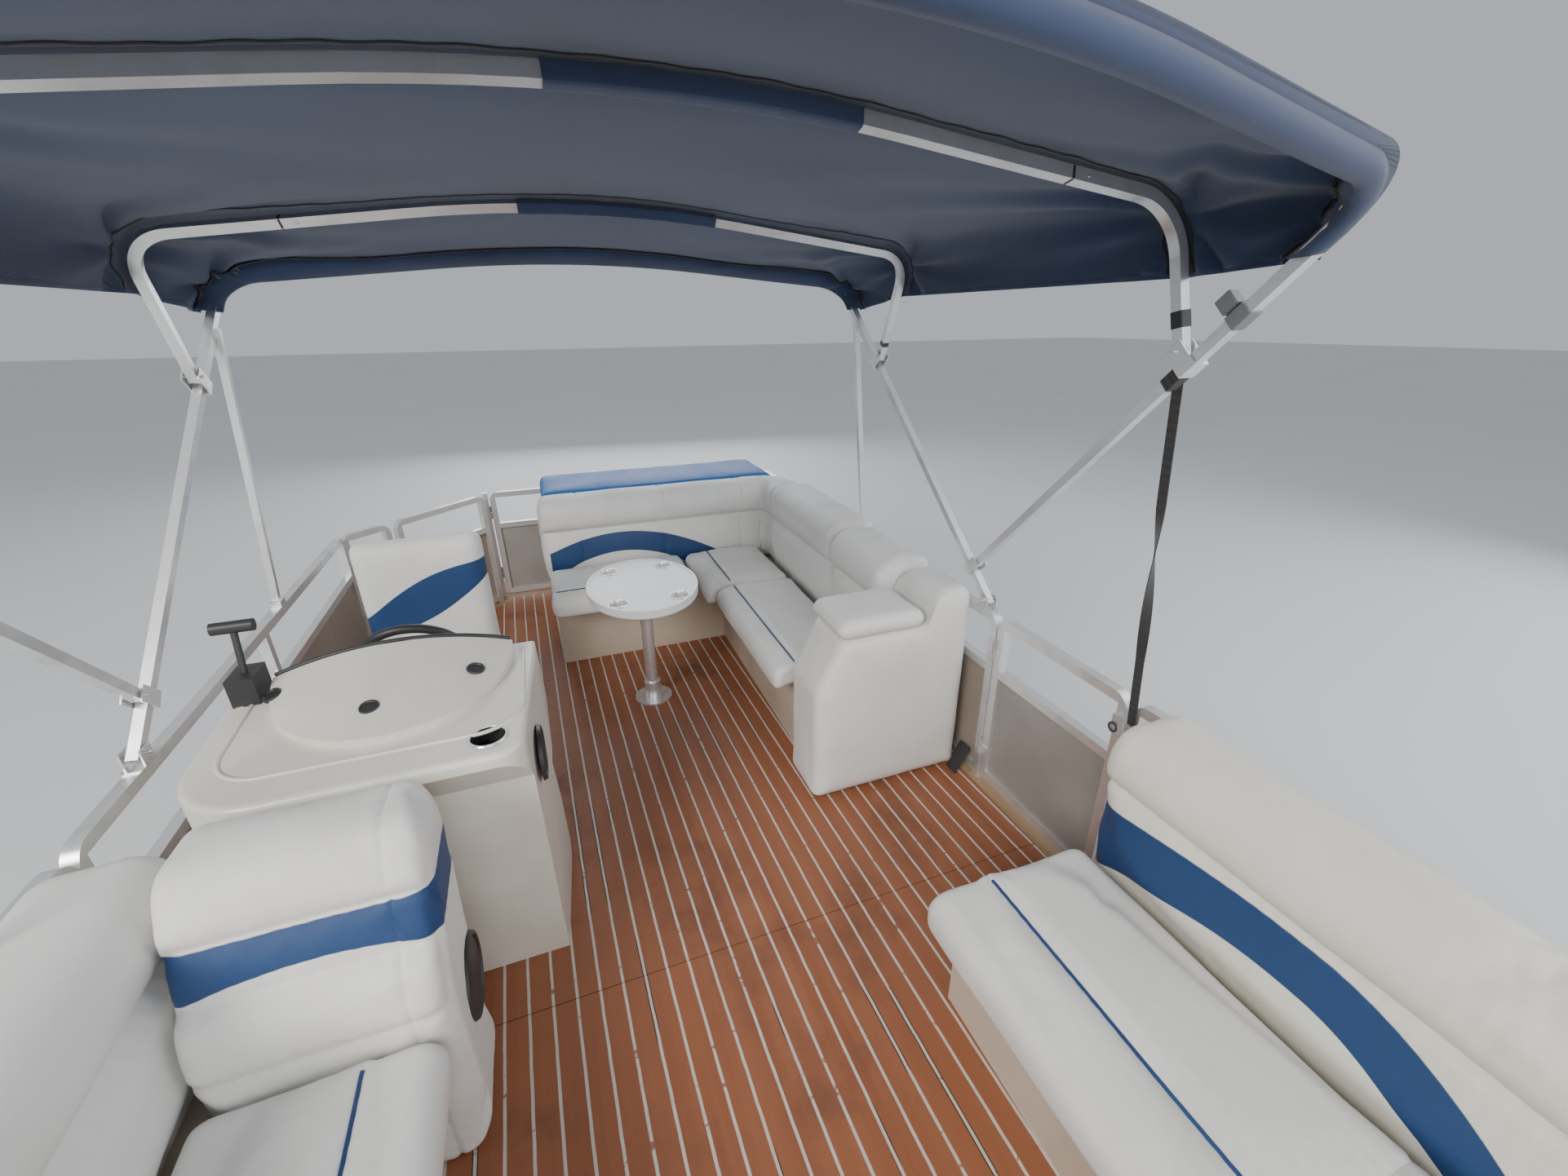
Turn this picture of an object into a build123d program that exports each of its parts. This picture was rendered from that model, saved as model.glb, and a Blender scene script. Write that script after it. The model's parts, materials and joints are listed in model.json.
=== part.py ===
"""A twenty-foot pontoon boat, built from its two floats up.

Lengths are in millimetres. X runs to port, Y runs aft and Z runs up from the bottom of the keels.
Places along the boat are stations, counted aft from the forward edge of the deck, and heights on
the deck are counted up from the floor. The finished pieces are moved at the end so that the whole
boat is centred on the origin.
"""
import os
from math import atan2, ceil, cos, degrees, radians, sin, tan

from build123d import *

# Deck
DECK_LENGTH = 6100.0
BEAM = 2590.0
DECK_THICKNESS = 19.0
FLOOR_THICKNESS = 4.0

# Floats
FLOAT_DIAMETER = 610.0
FLOAT_INSET = 110.0
FLOAT_SPACING = BEAM - FLOAT_DIAMETER - 2 * FLOAT_INSET
FLOAT_STERN_INSET = 60.0
FLOAT_AFT_STATION = DECK_LENGTH - FLOAT_STERN_INSET
FLOAT_NOSE_TIP = 30.0
FLOAT_NOSE_LENGTH = 900.0
KEEL_DEPTH = 22.0
KEEL_WIDTH = 40.0
KEEL_SINK = 6.0
TOW_EYE_RADIUS = 10.0
TOW_EYE_PLATE = 12.0
TOW_EYE_BEHIND = 40.0
TOW_EYE_RISE = 30.0
TOW_EYE_EDGE = 30.0
TOW_EYE_ROOT = (120.0, 60.0)

# Frame under the deck
SADDLE_RISE = 45.0
SADDLE_LENGTH = 170.0
SADDLE_WIDTH = 190.0
SADDLE_SINK = 30.0
CROSS_DEPTH = 75.0
CROSS_WIDTH = 40.0
CROSS_WALL = 5.0
CROSS_COUNT = 13
CROSS_FIRST = 200.0
CROSS_END = 220.0
CROSS_LAST = DECK_LENGTH - CROSS_END
EDGE_RAIL_WIDTH = 42.0
EDGE_RAIL_WALL = 4.0
EDGE_GAP = 1.0

# Heights that follow
FLOAT_RADIUS = FLOAT_DIAMETER / 2
FLOAT_AXIS_Z = KEEL_DEPTH + FLOAT_RADIUS
CROSS_BOTTOM_Z = KEEL_DEPTH + FLOAT_DIAMETER + SADDLE_RISE
DECK_BOTTOM_Z = CROSS_BOTTOM_Z + CROSS_DEPTH
DECK_Z = DECK_BOTTOM_Z + DECK_THICKNESS
FLOOR_Z = DECK_Z + FLOOR_THICKNESS

# Fence of square tube round the deck
TUBE = 32.0
FENCE_INSET = 60.0
FENCE_HALF_WIDTH = BEAM / 2 - FENCE_INSET
FENCE_TOP = 714.0
FENCE_FOOT = 18.0
FENCE_GAP = 168.0
FENCE_CORNER_RADIUS = 55.0
SKIN_THICKNESS = 3.0
PANEL_GAP = 2.0
BAY_LONGEST = 1110.0
BOW_FENCE_STATION = 640.0
STERN_PLATFORM = 560.0
STERN_FENCE_STATION = DECK_LENGTH - STERN_PLATFORM
BOW_GATE_HALF_WIDTH = 330.0
PORT_GATE_FORWARD = 2310.0
PORT_GATE_WIDTH = 580.0
PORT_GATE_AFT = PORT_GATE_FORWARD + PORT_GATE_WIDTH
STARBOARD_JOINT = 2665.0
STERN_GATE_STARBOARD = -585.0
STERN_GATE_WIDTH = 380.0
STERN_GATE_PORT = STERN_GATE_STARBOARD + STERN_GATE_WIDTH
QUARTER_REACH = 673.0
STARBOARD_BEND = STERN_FENCE_STATION - QUARTER_REACH
QUARTER_BREAK = (185.0 - FENCE_HALF_WIDTH, STARBOARD_BEND + 173.0)
QUARTER_JOINT = 24.0
QUARTER_END = (STERN_GATE_STARBOARD - 27.0, STERN_FENCE_STATION - 50.0)
LINK_HEIGHTS = (150.0, 560.0)
LINK_HALF = 20.0
LINK_REACH = 8.0

# Gates
GATE_CLEARANCE = 10.0
GATE_FOOT = 32.0
HINGE_RADIUS = 7.0
HINGE_LEAF = 3.0
HINGE_LENGTH = 40.0
HINGE_HEIGHTS = (150.0, 560.0)
LATCH_SIZE = (22.0, 18.0, 60.0)
LATCH_DROP = 90.0

# Seats: heights above the floor
SEAT_TOP = 440.0
SEAT_THICKNESS = 105.0
SEAT_BASE_TOP = SEAT_TOP - SEAT_THICKNESS
BACK_TOP = 790.0
CUSHION_RADIUS = 30.0
ROLL_RADIUS = 60.0
CORNER_ROLL_RADIUS = 50.0
PAD_RADIUS = 35.0
CHAIR_ROLL_RADIUS = 45.0
ROLL_LOW = 640.0
ROLL_OVERLAP = 15.0
PANEL_RECESS = 28.0
PANEL_RADIUS = 18.0
CUSHION_GAP = 8.0
BASE_WALL = 14.0
SEAT_OVERHANG = 120.0
LEDGE_WIDTH = 40.0
LOUNGE_MARGIN = 45.0
LOUNGE_OUTER = FENCE_HALF_WIDTH - LOUNGE_MARGIN
LOUNGE_BACK_THICKNESS = 225.0
LOUNGE_BACK_INNER = LOUNGE_OUTER - LOUNGE_BACK_THICKNESS

# Forward lounges, one each side of the aisle
BOW_LOUNGE_FORWARD = BOW_FENCE_STATION + 100.0
PORT_LOUNGE_AFT = PORT_GATE_FORWARD - 140.0
PORT_SEAT_DEPTH = 485.0
PORT_LOUNGE_INNER = LOUNGE_BACK_INNER - PORT_SEAT_DEPTH
STARBOARD_SEAT_DEPTH = 425.0
STARBOARD_LOUNGE_INNER = LOUNGE_BACK_INNER - STARBOARD_SEAT_DEPTH
STARBOARD_SEAT_AFT = 2230.0
STARBOARD_BACK_LENGTH = 340.0
STARBOARD_BACK_AFT = STARBOARD_SEAT_AFT + STARBOARD_BACK_LENGTH
END_BACK_ROLL = (240.0, 125.0)
END_BACK_FOOT = 60.0
END_BACK_RADIUS = 45.0
END_PANEL_RADIUS = 10.0

# Helm console
CONSOLE_WIDTH = 740.0
CONSOLE_MARGIN = 130.0
CONSOLE_SWEEP = (35.0, 450.0)
CONSOLE_CORNERS = (180.0, 70.0)
CONSOLE_EDGE = 16.0
CONSOLE_OUTER = CONSOLE_MARGIN - LOUNGE_OUTER
CONSOLE_AISLE = CONSOLE_OUTER + CONSOLE_WIDTH
CONSOLE_WALL = 18.0
CONSOLE_FRONT = STARBOARD_BACK_AFT + 30.0
CONSOLE_TOE = CONSOLE_FRONT + 100.0
CONSOLE_TOP_FRONT = 775.0
CONSOLE_TOP_AFT = 800.0
CONSOLE_SILL = 25.0
HELM_FACE_LOW = (CONSOLE_FRONT + 620.0, 600.0)
KNEE_CORNER = (HELM_FACE_LOW[0] - 220.0, 430.0)
KNEE_TOE = HELM_FACE_LOW[0] - 90.0
COWL_CENTRE_X = CONSOLE_OUTER + 392.0
COWL_HALF_WIDTH = 292.0
COWL_AFT_STATION = CONSOLE_FRONT + 480.0
COWL_LENGTH = 345.0
COWL_FRONT_TOP = 803.0
COWL_AFT_TOP = 888.0
COWL_DOME_RADIUS = 900.0
COWL_EDGE = 8.0
CUP_RADIUS = 40.0
CUP_DEPTH = 55.0
CONSOLE_CUP = (CONSOLE_AISLE - 112.0, CONSOLE_FRONT + 78.0)
THROTTLE_STATION = CONSOLE_FRONT + 415.0
THROTTLE_X = CONSOLE_OUTER + 50.0
THROTTLE_LENGTH = 95.0
THROTTLE_WIDTH = 60.0
THROTTLE_TOP = 870.0
STALK_RADIUS = 8.0
STALK_LENGTH = 120.0
STALK_LEAN = 12.0
GRIP_RADIUS = 16.0
GRIP_LENGTH = 90.0

# Steering wheel
WHEEL_CENTRE = (COWL_CENTRE_X - 22.0, HELM_FACE_LOW[0] + 110.0, 700.0)
WHEEL_RADIUS = 165.0
WHEEL_RIM = 14.0
WHEEL_TILT = 25.0
HUB_RADIUS = 34.0
HUB_LENGTH = 30.0
SPOKE_TURNS = (90.0, 210.0, 330.0)
SPOKE_WIDTH = 26.0
SPOKE_THICKNESS = 10.0
COLUMN_RADIUS = 20.0
COLUMN_BOSS_RADIUS = 48.0

# Captain's chair
CHAIR_X = COWL_CENTRE_X - 62.0
CHAIR_STATION = WHEEL_CENTRE[1] + 430.0
CHAIR_WIDTH = 480.0
CHAIR_FRONT = 250.0
CHAIR_BACK_FRONT = 150.0
CHAIR_BACK_THICKNESS = 100.0
CHAIR_BACK_TOP = 930.0
CHAIR_BOARD = 18.0
CHAIR_BOARD_HALF = 200.0
CHAIR_BOARD_DROP = 60.0
CHAIR_TRAY_FRONT = 200.0
PEDESTAL_HEIGHT = 330.0
PEDESTAL_RADIUS = 36.0
PEDESTAL_PLATE = (130.0, 10.0)
CHAIR_PLATE = (90.0, 21.0)
CHAIR_TRAY_LOW = PEDESTAL_HEIGHT + CHAIR_PLATE[1]
CHAIR_TRAY_TOP = CHAIR_TRAY_LOW + 19.0
CHAIR_SEAT_TOP = CHAIR_TRAY_TOP + 110.0

# Table
TABLE_HALF_WIDTH = 245.0
TABLE_HALF_LENGTH = 320.0
TABLE_TOP = 600.0
TABLE_THICKNESS = 40.0
TABLE_RIM = (12.0, 3.0)
TABLE_EDGE = 8.0
TABLE_CUP_RADIUS = 40.0
TABLE_CUP_DEPTH = 26.0
TABLE_CUP_OFFSET = (130.0, 195.0)
TABLE_SOCKET = (88.0, 8.0)
TABLE_COLLAR = (38.0, 90.0)
TABLE_POST_RADIUS = 28.0
TABLE_PLATE = (85.0, 12.0)

# Aft lounge: an arm block forward on the port side, then an L round to the stern
AFT_ARM_FORWARD = PORT_GATE_AFT + 90.0
AFT_ARM_LENGTH = 290.0
AFT_ARM_AFT = AFT_ARM_FORWARD + AFT_ARM_LENGTH
AFT_ARM_WIDTH = 635.0
AFT_ARM_INNER = LOUNGE_OUTER - AFT_ARM_WIDTH
AFT_ARM_TOP = 670.0
AFT_ARM_KNEE = 460.0
AFT_ARM_LEAN = 98.0
AFT_ARM_SHOULDER = (145.0, 800.0)
AFT_ARM_CORNERS = (70.0, 32.0, 45.0)
AFT_ARM_EDGE = 24.0
AFT_ARM_PAD = (83.0, 200.0, 65.0)
AFT_BACK_THICKNESS = 260.0
AFT_BACK_INNER = LOUNGE_OUTER - AFT_BACK_THICKNESS
AFT_SEAT_DEPTH = 430.0
AFT_SEAT_INNER = AFT_BACK_INNER - AFT_SEAT_DEPTH
AFT_BACK_RISES = (30.0, 50.0, 20.0)
PORT_BACK_LENGTH = 485.0
CORNER_SEAT_LEAD = 110.0
CORNER_SEAT_REACH = 40.0
CORNER_BACK_LENGTH = 160.0
STERN_TOE = 170.0
BASE_END = 20.0
PAD_AFT = STERN_FENCE_STATION - 30.0
PAD_LENGTH = 545.0
PAD_PORT = LOUNGE_OUTER - 70.0
PAD_THICKNESS = 85.0
PAD_PROUD = 10.0
STERN_BACK_AFT = PAD_AFT - PAD_LENGTH
STERN_BACK_THICKNESS = 215.0
STERN_BACK_FORWARD = STERN_BACK_AFT - STERN_BACK_THICKNESS
STERN_CORNER_RADII = (70.0, 200.0)
STERN_SEAT_DEPTH = 460.0
STERN_SEAT_FORWARD = STERN_BACK_FORWARD - STERN_SEAT_DEPTH
STERN_SEAT_STARBOARD = STERN_GATE_PORT - 85.0
TABLE_GAP = 10.0
TABLE_CENTRE = (AFT_SEAT_INNER - 380.0, STERN_SEAT_FORWARD - TABLE_GAP - TABLE_HALF_LENGTH)

# Folding top: each bow's length runs along its leg from pivot to corner
BOW_TUBE = 25.0
JAW_REACH = 38.0
JAW_PLATE = 4.0
JAW_GAP = 5.0
JAW_WIDTH = 44.0
PIN_RADIUS = 4.0
PIN_CLEARANCE = 0.4
PIN_HEAD = 6.0
FOOT_PIN_AT = 32.0
TOP_MOUNT_STATION = PORT_GATE_AFT + 60.0
TOP_PIVOT_HEIGHT = FENCE_TOP + 8.0
MOUNT_HALF = (22.0, 40.0)
MOUNT_PLATE = 5.0
MOUNT_CHEEK = (20.0, 22.0, 15.0)
REAR_BOW_ANGLE = 46.0
FRONT_BOW_ANGLE = 135.0
LOWER_JAW_AT = 165.0
REAR_JAW_AT = 1120.0
FRONT_JAW_AT = 1030.0
REAR_BOW_LENGTH = 1550.0
FRONT_BOW_LENGTH = 1450.0
INNER_REAR_ANGLE = 120.0
INNER_REAR_LENGTH = 400.0
INNER_FRONT_ANGLE = 77.0
INNER_FRONT_LENGTH = 300.0
LEG_BOTTOM_HALF = FENCE_HALF_WIDTH
LEG_LEAN = 125.0
LEG_TOP_HALF = LEG_BOTTOM_HALF - LEG_LEAN
INNER_TOP_HALF = LEG_TOP_HALF + 8.0
REAR_CROWN = 150.0
FRONT_CROWN = 185.0
INNER_CROWN = 145.0
BOW_CORNER_RADIUS = 130.0
CROWN_RADIUS = 3600.0
BRACE_STATION = TOP_MOUNT_STATION + 1020.0
BRACE_AT = 1340.0
BRACE_TUBE = 22.0
BRACE_FOOT = (18.0, 25.0, 22.0)
CANOPY_THICKNESS = 8.0
CANOPY_GAP = 3.0
CANOPY_DROP = 140.0
STRAP_STATION = PORT_GATE_FORWARD - TUBE / 2
STRAP_WIDTH = 26.0
STRAP_THICKNESS = 3.0
STRAP_CLIP = (10.0, 14.0, 28.0)
STRAP_CLIP_HEIGHTS = {1: FENCE_TOP - 100.0, -1: FENCE_TOP - TUBE + 2.0}
STRAP_LOOP = 40.0
STRAP_AT = FRONT_JAW_AT - JAW_WIDTH / 2 - STRAP_LOOP / 2 - 4.0

# Outboard motor: its own heights are counted from the tilt axis, and its lengths aft of it
TRANSOM_STATION = DECK_LENGTH + 4.0
TRANSOM_THICKNESS = 40.0
TRANSOM_DROP = 4.0
TILT_STATION = TRANSOM_STATION + 78.0
TILT_Z = DECK_Z + 34.0
TILT_ANGLE = 62.0
POD_HALF = 230.0
POD_BOTTOM = 330.0
POD_LENGTH = 850.0
POD_SHOULDER = (650.0, 560.0)
POD_HEEL = 120.0
POD_END = 50.0
CLAMP_HALF = 92.0
CLAMP_PLATE = 14.0
CLAMP_EDGE = (30.0, 25.0, 195.0)
TILT_TUBE_RADIUS = 20.0
SWIVEL_HALF = 40.0
STEER_OFFSET = 95.0
STEER_TUBE_RADIUS = 30.0
STEER_EYE_RADIUS = 38.0
STEER_ARM_SINK = 30.0
STEER_TUBE_LOW = -195.0
STEER_TUBE_HIGH = -10.0
STEER_ARM = 28.0
STEER_GAP = 5.0
LEG_GAP = 12.0
COWL_HALF = 165.0
COWL_AFT = 480.0
COWL_FRONT = 10.0
COWL_LOW = 100.0
COWL_HIGH = 560.0
COWL_WALL = 8.0
COWL_TAPER = 5.0
COWL_CORNER = 120.0
COWL_TOP_RADIUS = 45.0
COWL_ROOF = 22.0
TRAY_THICKNESS = 12.0
ENGINE_SIZE = (180.0, 290.0, 370.0)
PLATE_DROP = 565.0
PLATE_MIDDLE = 255.0
PLATE_HALF = (98.0, 190.0)
PLATE_THICKNESS = 8.0
PROP_DROP = 760.0
PROP_STATION = 275.0
PROP_RADIUS = 165.0
PROP_HUB_RADIUS = 34.0
PROP_HUB_LENGTH = 84.0
PROP_BLADES = 3
BLADE_HALF = 52.0
BLADE_THICKNESS = 7.0
PROP_PITCH = 32.0
GEAR_RADIUS = 50.0
GEAR_NOSE = 270.0
GEAR_NOSE_RUN = 180.0
GEAR_TAPER = 8.0
SKEG_THICKNESS = 10.0

# Cleats on the deck's corners
CLEAT_OUT = 29.0
CLEAT_STATIONS = (350.0, DECK_LENGTH - 300.0)
CLEAT_FOOT = (12.0, 35.0, 32.0)
CLEAT_BAR = (9.0, 190.0, 38.0)


def group(pieces):
    """The solids of one node that stand apart, gathered in one compound."""
    return Compound([solid for piece in pieces for solid in piece.solids()])


def box_at(x0, x1, s0, s1, z0, z1):
    """A block between two X values, two stations and two heights."""
    return Pos((x0 + x1) / 2, (s0 + s1) / 2, (z0 + z1) / 2) * Box(abs(x1 - x0), abs(s1 - s0), abs(z1 - z0))


def on_floor(x0, x1, s0, s1, z0, z1):
    """The same, with its heights counted up from the floor."""
    return box_at(x0, x1, s0, s1, FLOOR_Z + z0, FLOOR_Z + z1)


def cushion(x0, x1, s0, s1, z0, z1, radius=CUSHION_RADIUS):
    """A block on the floor's heights with every edge rounded."""
    block = on_floor(x0, x1, s0, s1, z0, z1)
    return fillet(block.edges(), radius)


def side_profile(points, x0, x1):
    """A closed outline of (station, height above the floor), drawn through from x0 to x1."""
    face = Plane(origin=(x0, 0, FLOOR_Z), x_dir=(0, 1, 0), z_dir=(1, 0, 0)) * make_face(
        Polyline(*[(s, z) for s, z in points], close=True))
    return extrude(face, x1 - x0)


# Floats, with a nose that sweeps up and a keel strip underneath
NOSE_SECTIONS = (
    # distance behind the tip, radius, height of the centre above the float's axis
    (FLOAT_NOSE_LENGTH, FLOAT_RADIUS, 0.0),
    (460.0, 258.0, 36.0),
    (150.0, 165.0, 105.0),
    (0.0, 60.0, 165.0),
)


def float_tube(side):
    """One float: nose loft, barrel, keel, saddles and the tow eye under its nose."""
    x = side * FLOAT_SPACING / 2
    barrel_start = FLOAT_NOSE_TIP + FLOAT_NOSE_LENGTH
    barrel_length = FLOAT_AFT_STATION - barrel_start
    barrel = Pos(x, barrel_start + barrel_length / 2, FLOAT_AXIS_Z) * Rot(90, 0, 0) * Cylinder(
        FLOAT_RADIUS, barrel_length)
    rings = []
    for behind, radius, lift in NOSE_SECTIONS:
        place = Plane(origin=(x, FLOAT_NOSE_TIP + behind, FLOAT_AXIS_Z + lift), x_dir=(1, 0, 0),
                      z_dir=(0, -1, 0))
        rings.append(place * Circle(radius))
    nose = loft(rings)
    keel = box_at(x - KEEL_WIDTH / 2, x + KEEL_WIDTH / 2, barrel_start, FLOAT_AFT_STATION, 0,
                  KEEL_DEPTH + KEEL_SINK)
    eye_s, eye_z = tow_eye_place()
    plate = box_at(x - TOW_EYE_PLATE / 2, x + TOW_EYE_PLATE / 2, eye_s - TOW_EYE_EDGE, eye_s + TOW_EYE_ROOT[0],
                   eye_z - TOW_EYE_EDGE, eye_z + TOW_EYE_ROOT[1])
    hole = Pos(x, eye_s, eye_z) * Rot(0, 90, 0) * Cylinder(TOW_EYE_RADIUS, 2 * TOW_EYE_PLATE)
    tube = barrel + nose + keel + plate - hole
    return tube + saddles(x)


def tow_eye_place():
    """Station and height of the tow eye's hole, just below the tip of the nose."""
    return FLOAT_NOSE_TIP + TOW_EYE_BEHIND, FLOAT_AXIS_Z + TOW_EYE_RISE


def cross_stations():
    """Stations of the cross beams, evenly spaced from first to last."""
    pitch = (CROSS_LAST - CROSS_FIRST) / (CROSS_COUNT - 1)
    return [CROSS_FIRST + pitch * i for i in range(CROSS_COUNT)]


def saddles(x):
    """The welded brackets on top of a float, one under each cross beam behind the nose."""
    stations = [s for s in cross_stations() if s - SADDLE_LENGTH / 2 > FLOAT_NOSE_TIP + FLOAT_NOSE_LENGTH]
    return [box_at(x - SADDLE_WIDTH / 2, x + SADDLE_WIDTH / 2, s - SADDLE_LENGTH / 2, s + SADDLE_LENGTH / 2,
                   FLOAT_AXIS_Z + FLOAT_RADIUS - SADDLE_SINK, CROSS_BOTTOM_Z) for s in stations]


def cross_beams():
    """Channel beams across the boat, open towards the stern."""
    pieces = []
    half = BEAM / 2 - EDGE_RAIL_WALL - EDGE_GAP
    for station in cross_stations():
        beam = box_at(-half, half, station - CROSS_WIDTH / 2, station + CROSS_WIDTH / 2, CROSS_BOTTOM_Z,
                      DECK_BOTTOM_Z)
        hollow = box_at(-half - 1, half + 1, station - CROSS_WIDTH / 2 + CROSS_WALL, station + CROSS_WIDTH / 2 + 1,
                        CROSS_BOTTOM_Z + CROSS_WALL, DECK_BOTTOM_Z - CROSS_WALL)
        pieces.append(beam - hollow)
    return group(pieces)


def deck_panel():
    """The plywood deck inside its edge rail."""
    inset = EDGE_RAIL_WALL + EDGE_GAP
    return box_at(-BEAM / 2 + inset, BEAM / 2 - inset, inset, DECK_LENGTH - inset, DECK_BOTTOM_Z, DECK_Z)


def edge_rails():
    """Four channels that cap the deck's edge and the ends of the beams."""
    top = DECK_Z + FLOOR_THICKNESS
    low = CROSS_BOTTOM_Z - EDGE_RAIL_WALL
    half = BEAM / 2

    def channel(length):
        """A rail along local Y with its wall at x = 0 and its two lips towards +x."""
        outer = Pos(EDGE_RAIL_WIDTH / 2, 0, (top + low) / 2) * Box(EDGE_RAIL_WIDTH, length, top - low)
        inner = Pos(EDGE_RAIL_WALL + EDGE_RAIL_WIDTH / 2, 0, (DECK_Z + CROSS_BOTTOM_Z) / 2) * Box(
            EDGE_RAIL_WIDTH, length + 2, DECK_Z - CROSS_BOTTOM_Z)
        return outer - inner

    side_length = DECK_LENGTH - 2 * EDGE_RAIL_WIDTH - 2 * EDGE_GAP
    pieces = [
        Pos(-half, DECK_LENGTH / 2, 0) * channel(side_length),
        Pos(half, DECK_LENGTH / 2, 0) * Rot(0, 0, 180) * channel(side_length),
        Pos(0, 0, 0) * Rot(0, 0, 90) * channel(BEAM),
        Pos(0, DECK_LENGTH, 0) * Rot(0, 0, -90) * channel(BEAM),
    ]
    return group(pieces)


def bay_count(width):
    """How many bays a panel is divided into, so that none is longer than the sheets allow."""
    return ceil(width / BAY_LONGEST)


def fence_frame(width, foot=FENCE_FOOT, feet=True, height=FENCE_TOP):
    """A flat frame in local X and Z: rounded top corners, a gap under the top rail, and a bay below.

    It starts at x = 0, stands on z = 0 and is one tube thick about y = 0.
    """
    bays = bay_count(width)
    outline = Pos(width / 2, (height + foot) / 2) * Rectangle(width, height - foot)
    top_corners = outline.vertices().sort_by(Axis.Y)[-2:]
    outline = fillet(top_corners, FENCE_CORNER_RADIUS)
    pitch = (width - TUBE) / bays
    bay = pitch - TUBE
    gap_low = height - TUBE - FENCE_GAP
    for i in range(bays):
        centre = TUBE + pitch * i + bay / 2
        upper = Pos(centre, gap_low + FENCE_GAP / 2) * Rectangle(bay, FENCE_GAP)
        lower_height = gap_low - TUBE - (foot + TUBE)
        lower = Pos(centre, foot + TUBE + lower_height / 2) * Rectangle(bay, lower_height)
        outline -= upper
        outline -= lower
    if feet:
        for i in range(bays + 1):
            outline += Pos(TUBE / 2 + pitch * i, foot / 2) * Rectangle(TUBE, foot)
    face = Plane(origin=(0, 0, 0), x_dir=(1, 0, 0), z_dir=(0, -1, 0)) * outline
    return Pos(0, TUBE / 2, 0) * extrude(face, TUBE)


def fence_skins(width, foot=FENCE_FOOT, height=FENCE_TOP):
    """The sheets that fill a frame's lower bays, one solid for each bay."""
    bays = bay_count(width)
    pitch = (width - TUBE) / bays
    bay = pitch - TUBE
    low = foot + TUBE
    high = height - TUBE - FENCE_GAP - TUBE
    return [Pos(TUBE + pitch * i + bay / 2, 0, (low + high) / 2) * Box(bay, SKIN_THICKNESS, high - low)
            for i in range(bays)]


QUARTER_LENGTH = ((QUARTER_BREAK[0] + FENCE_HALF_WIDTH) ** 2 + (QUARTER_BREAK[1] - STARBOARD_BEND) ** 2) ** 0.5
QUARTER_ANGLE = degrees(atan2(QUARTER_BREAK[1] - STARBOARD_BEND, QUARTER_BREAK[0] + FENCE_HALF_WIDTH))
CORNER_START = (QUARTER_BREAK[0] + QUARTER_JOINT, QUARTER_BREAK[1] + QUARTER_JOINT)
CORNER_LENGTH = ((QUARTER_END[0] - CORNER_START[0]) ** 2 + (QUARTER_END[1] - CORNER_START[1]) ** 2) ** 0.5
CORNER_ANGLE = degrees(atan2(QUARTER_END[1] - CORNER_START[1], QUARTER_END[0] - CORNER_START[0]))
SIDE_START = BOW_FENCE_STATION + TUBE / 2 + PANEL_GAP
FRONT_WIDTH = FENCE_HALF_WIDTH + TUBE / 2 - BOW_GATE_HALF_WIDTH

FENCE_TABLE = (
    # node, start X, start station, heading in degrees from +X, length
    ("fence_front", -FENCE_HALF_WIDTH - TUBE / 2, BOW_FENCE_STATION, 0.0, FRONT_WIDTH),
    ("fence_front", BOW_GATE_HALF_WIDTH, BOW_FENCE_STATION, 0.0, FRONT_WIDTH),
    ("fence_starboard", -FENCE_HALF_WIDTH, SIDE_START, 90.0, STARBOARD_JOINT - SIDE_START),
    ("fence_starboard", -FENCE_HALF_WIDTH, STARBOARD_JOINT + PANEL_GAP, 90.0,
     STARBOARD_BEND - STARBOARD_JOINT - PANEL_GAP),
    ("fence_starboard", -FENCE_HALF_WIDTH, STARBOARD_BEND, QUARTER_ANGLE, QUARTER_LENGTH),
    ("fence_quarter", CORNER_START[0], CORNER_START[1], CORNER_ANGLE, CORNER_LENGTH),
    ("fence_port", FENCE_HALF_WIDTH, SIDE_START, 90.0, PORT_GATE_FORWARD - SIDE_START),
    ("fence_port", FENCE_HALF_WIDTH, PORT_GATE_AFT, 90.0,
     STERN_FENCE_STATION - TUBE / 2 - PANEL_GAP - PORT_GATE_AFT),
    ("fence_stern", STERN_GATE_PORT, STERN_FENCE_STATION, 0.0, FENCE_HALF_WIDTH + TUBE / 2 - STERN_GATE_PORT),
)


def place_panel(x, station, heading):
    """Where a fence panel stands, with its local X turned to its heading."""
    return Pos(x, station, DECK_Z) * Rot(0, 0, heading)


GATE_TABLE = (
    # node, hinge post X, hinge post station, heading away from the hinge, clear opening, hinge side
    ("gate_port", FENCE_HALF_WIDTH, PORT_GATE_AFT, -90.0, PORT_GATE_AFT - PORT_GATE_FORWARD, -1),
    ("gate_bow", BOW_GATE_HALF_WIDTH, BOW_FENCE_STATION, 180.0, 2 * BOW_GATE_HALF_WIDTH, -1),
    ("gate_stern", STERN_GATE_STARBOARD, STERN_FENCE_STATION, 0.0, STERN_GATE_PORT - STERN_GATE_STARBOARD, 1),
)


def hinge_axis_local(side):
    """Local X and Y of a gate's pin: in the middle of the gap, clear of the tube's face."""
    return GATE_CLEARANCE / 2, side * (TUBE / 2 + HINGE_RADIUS)


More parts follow.
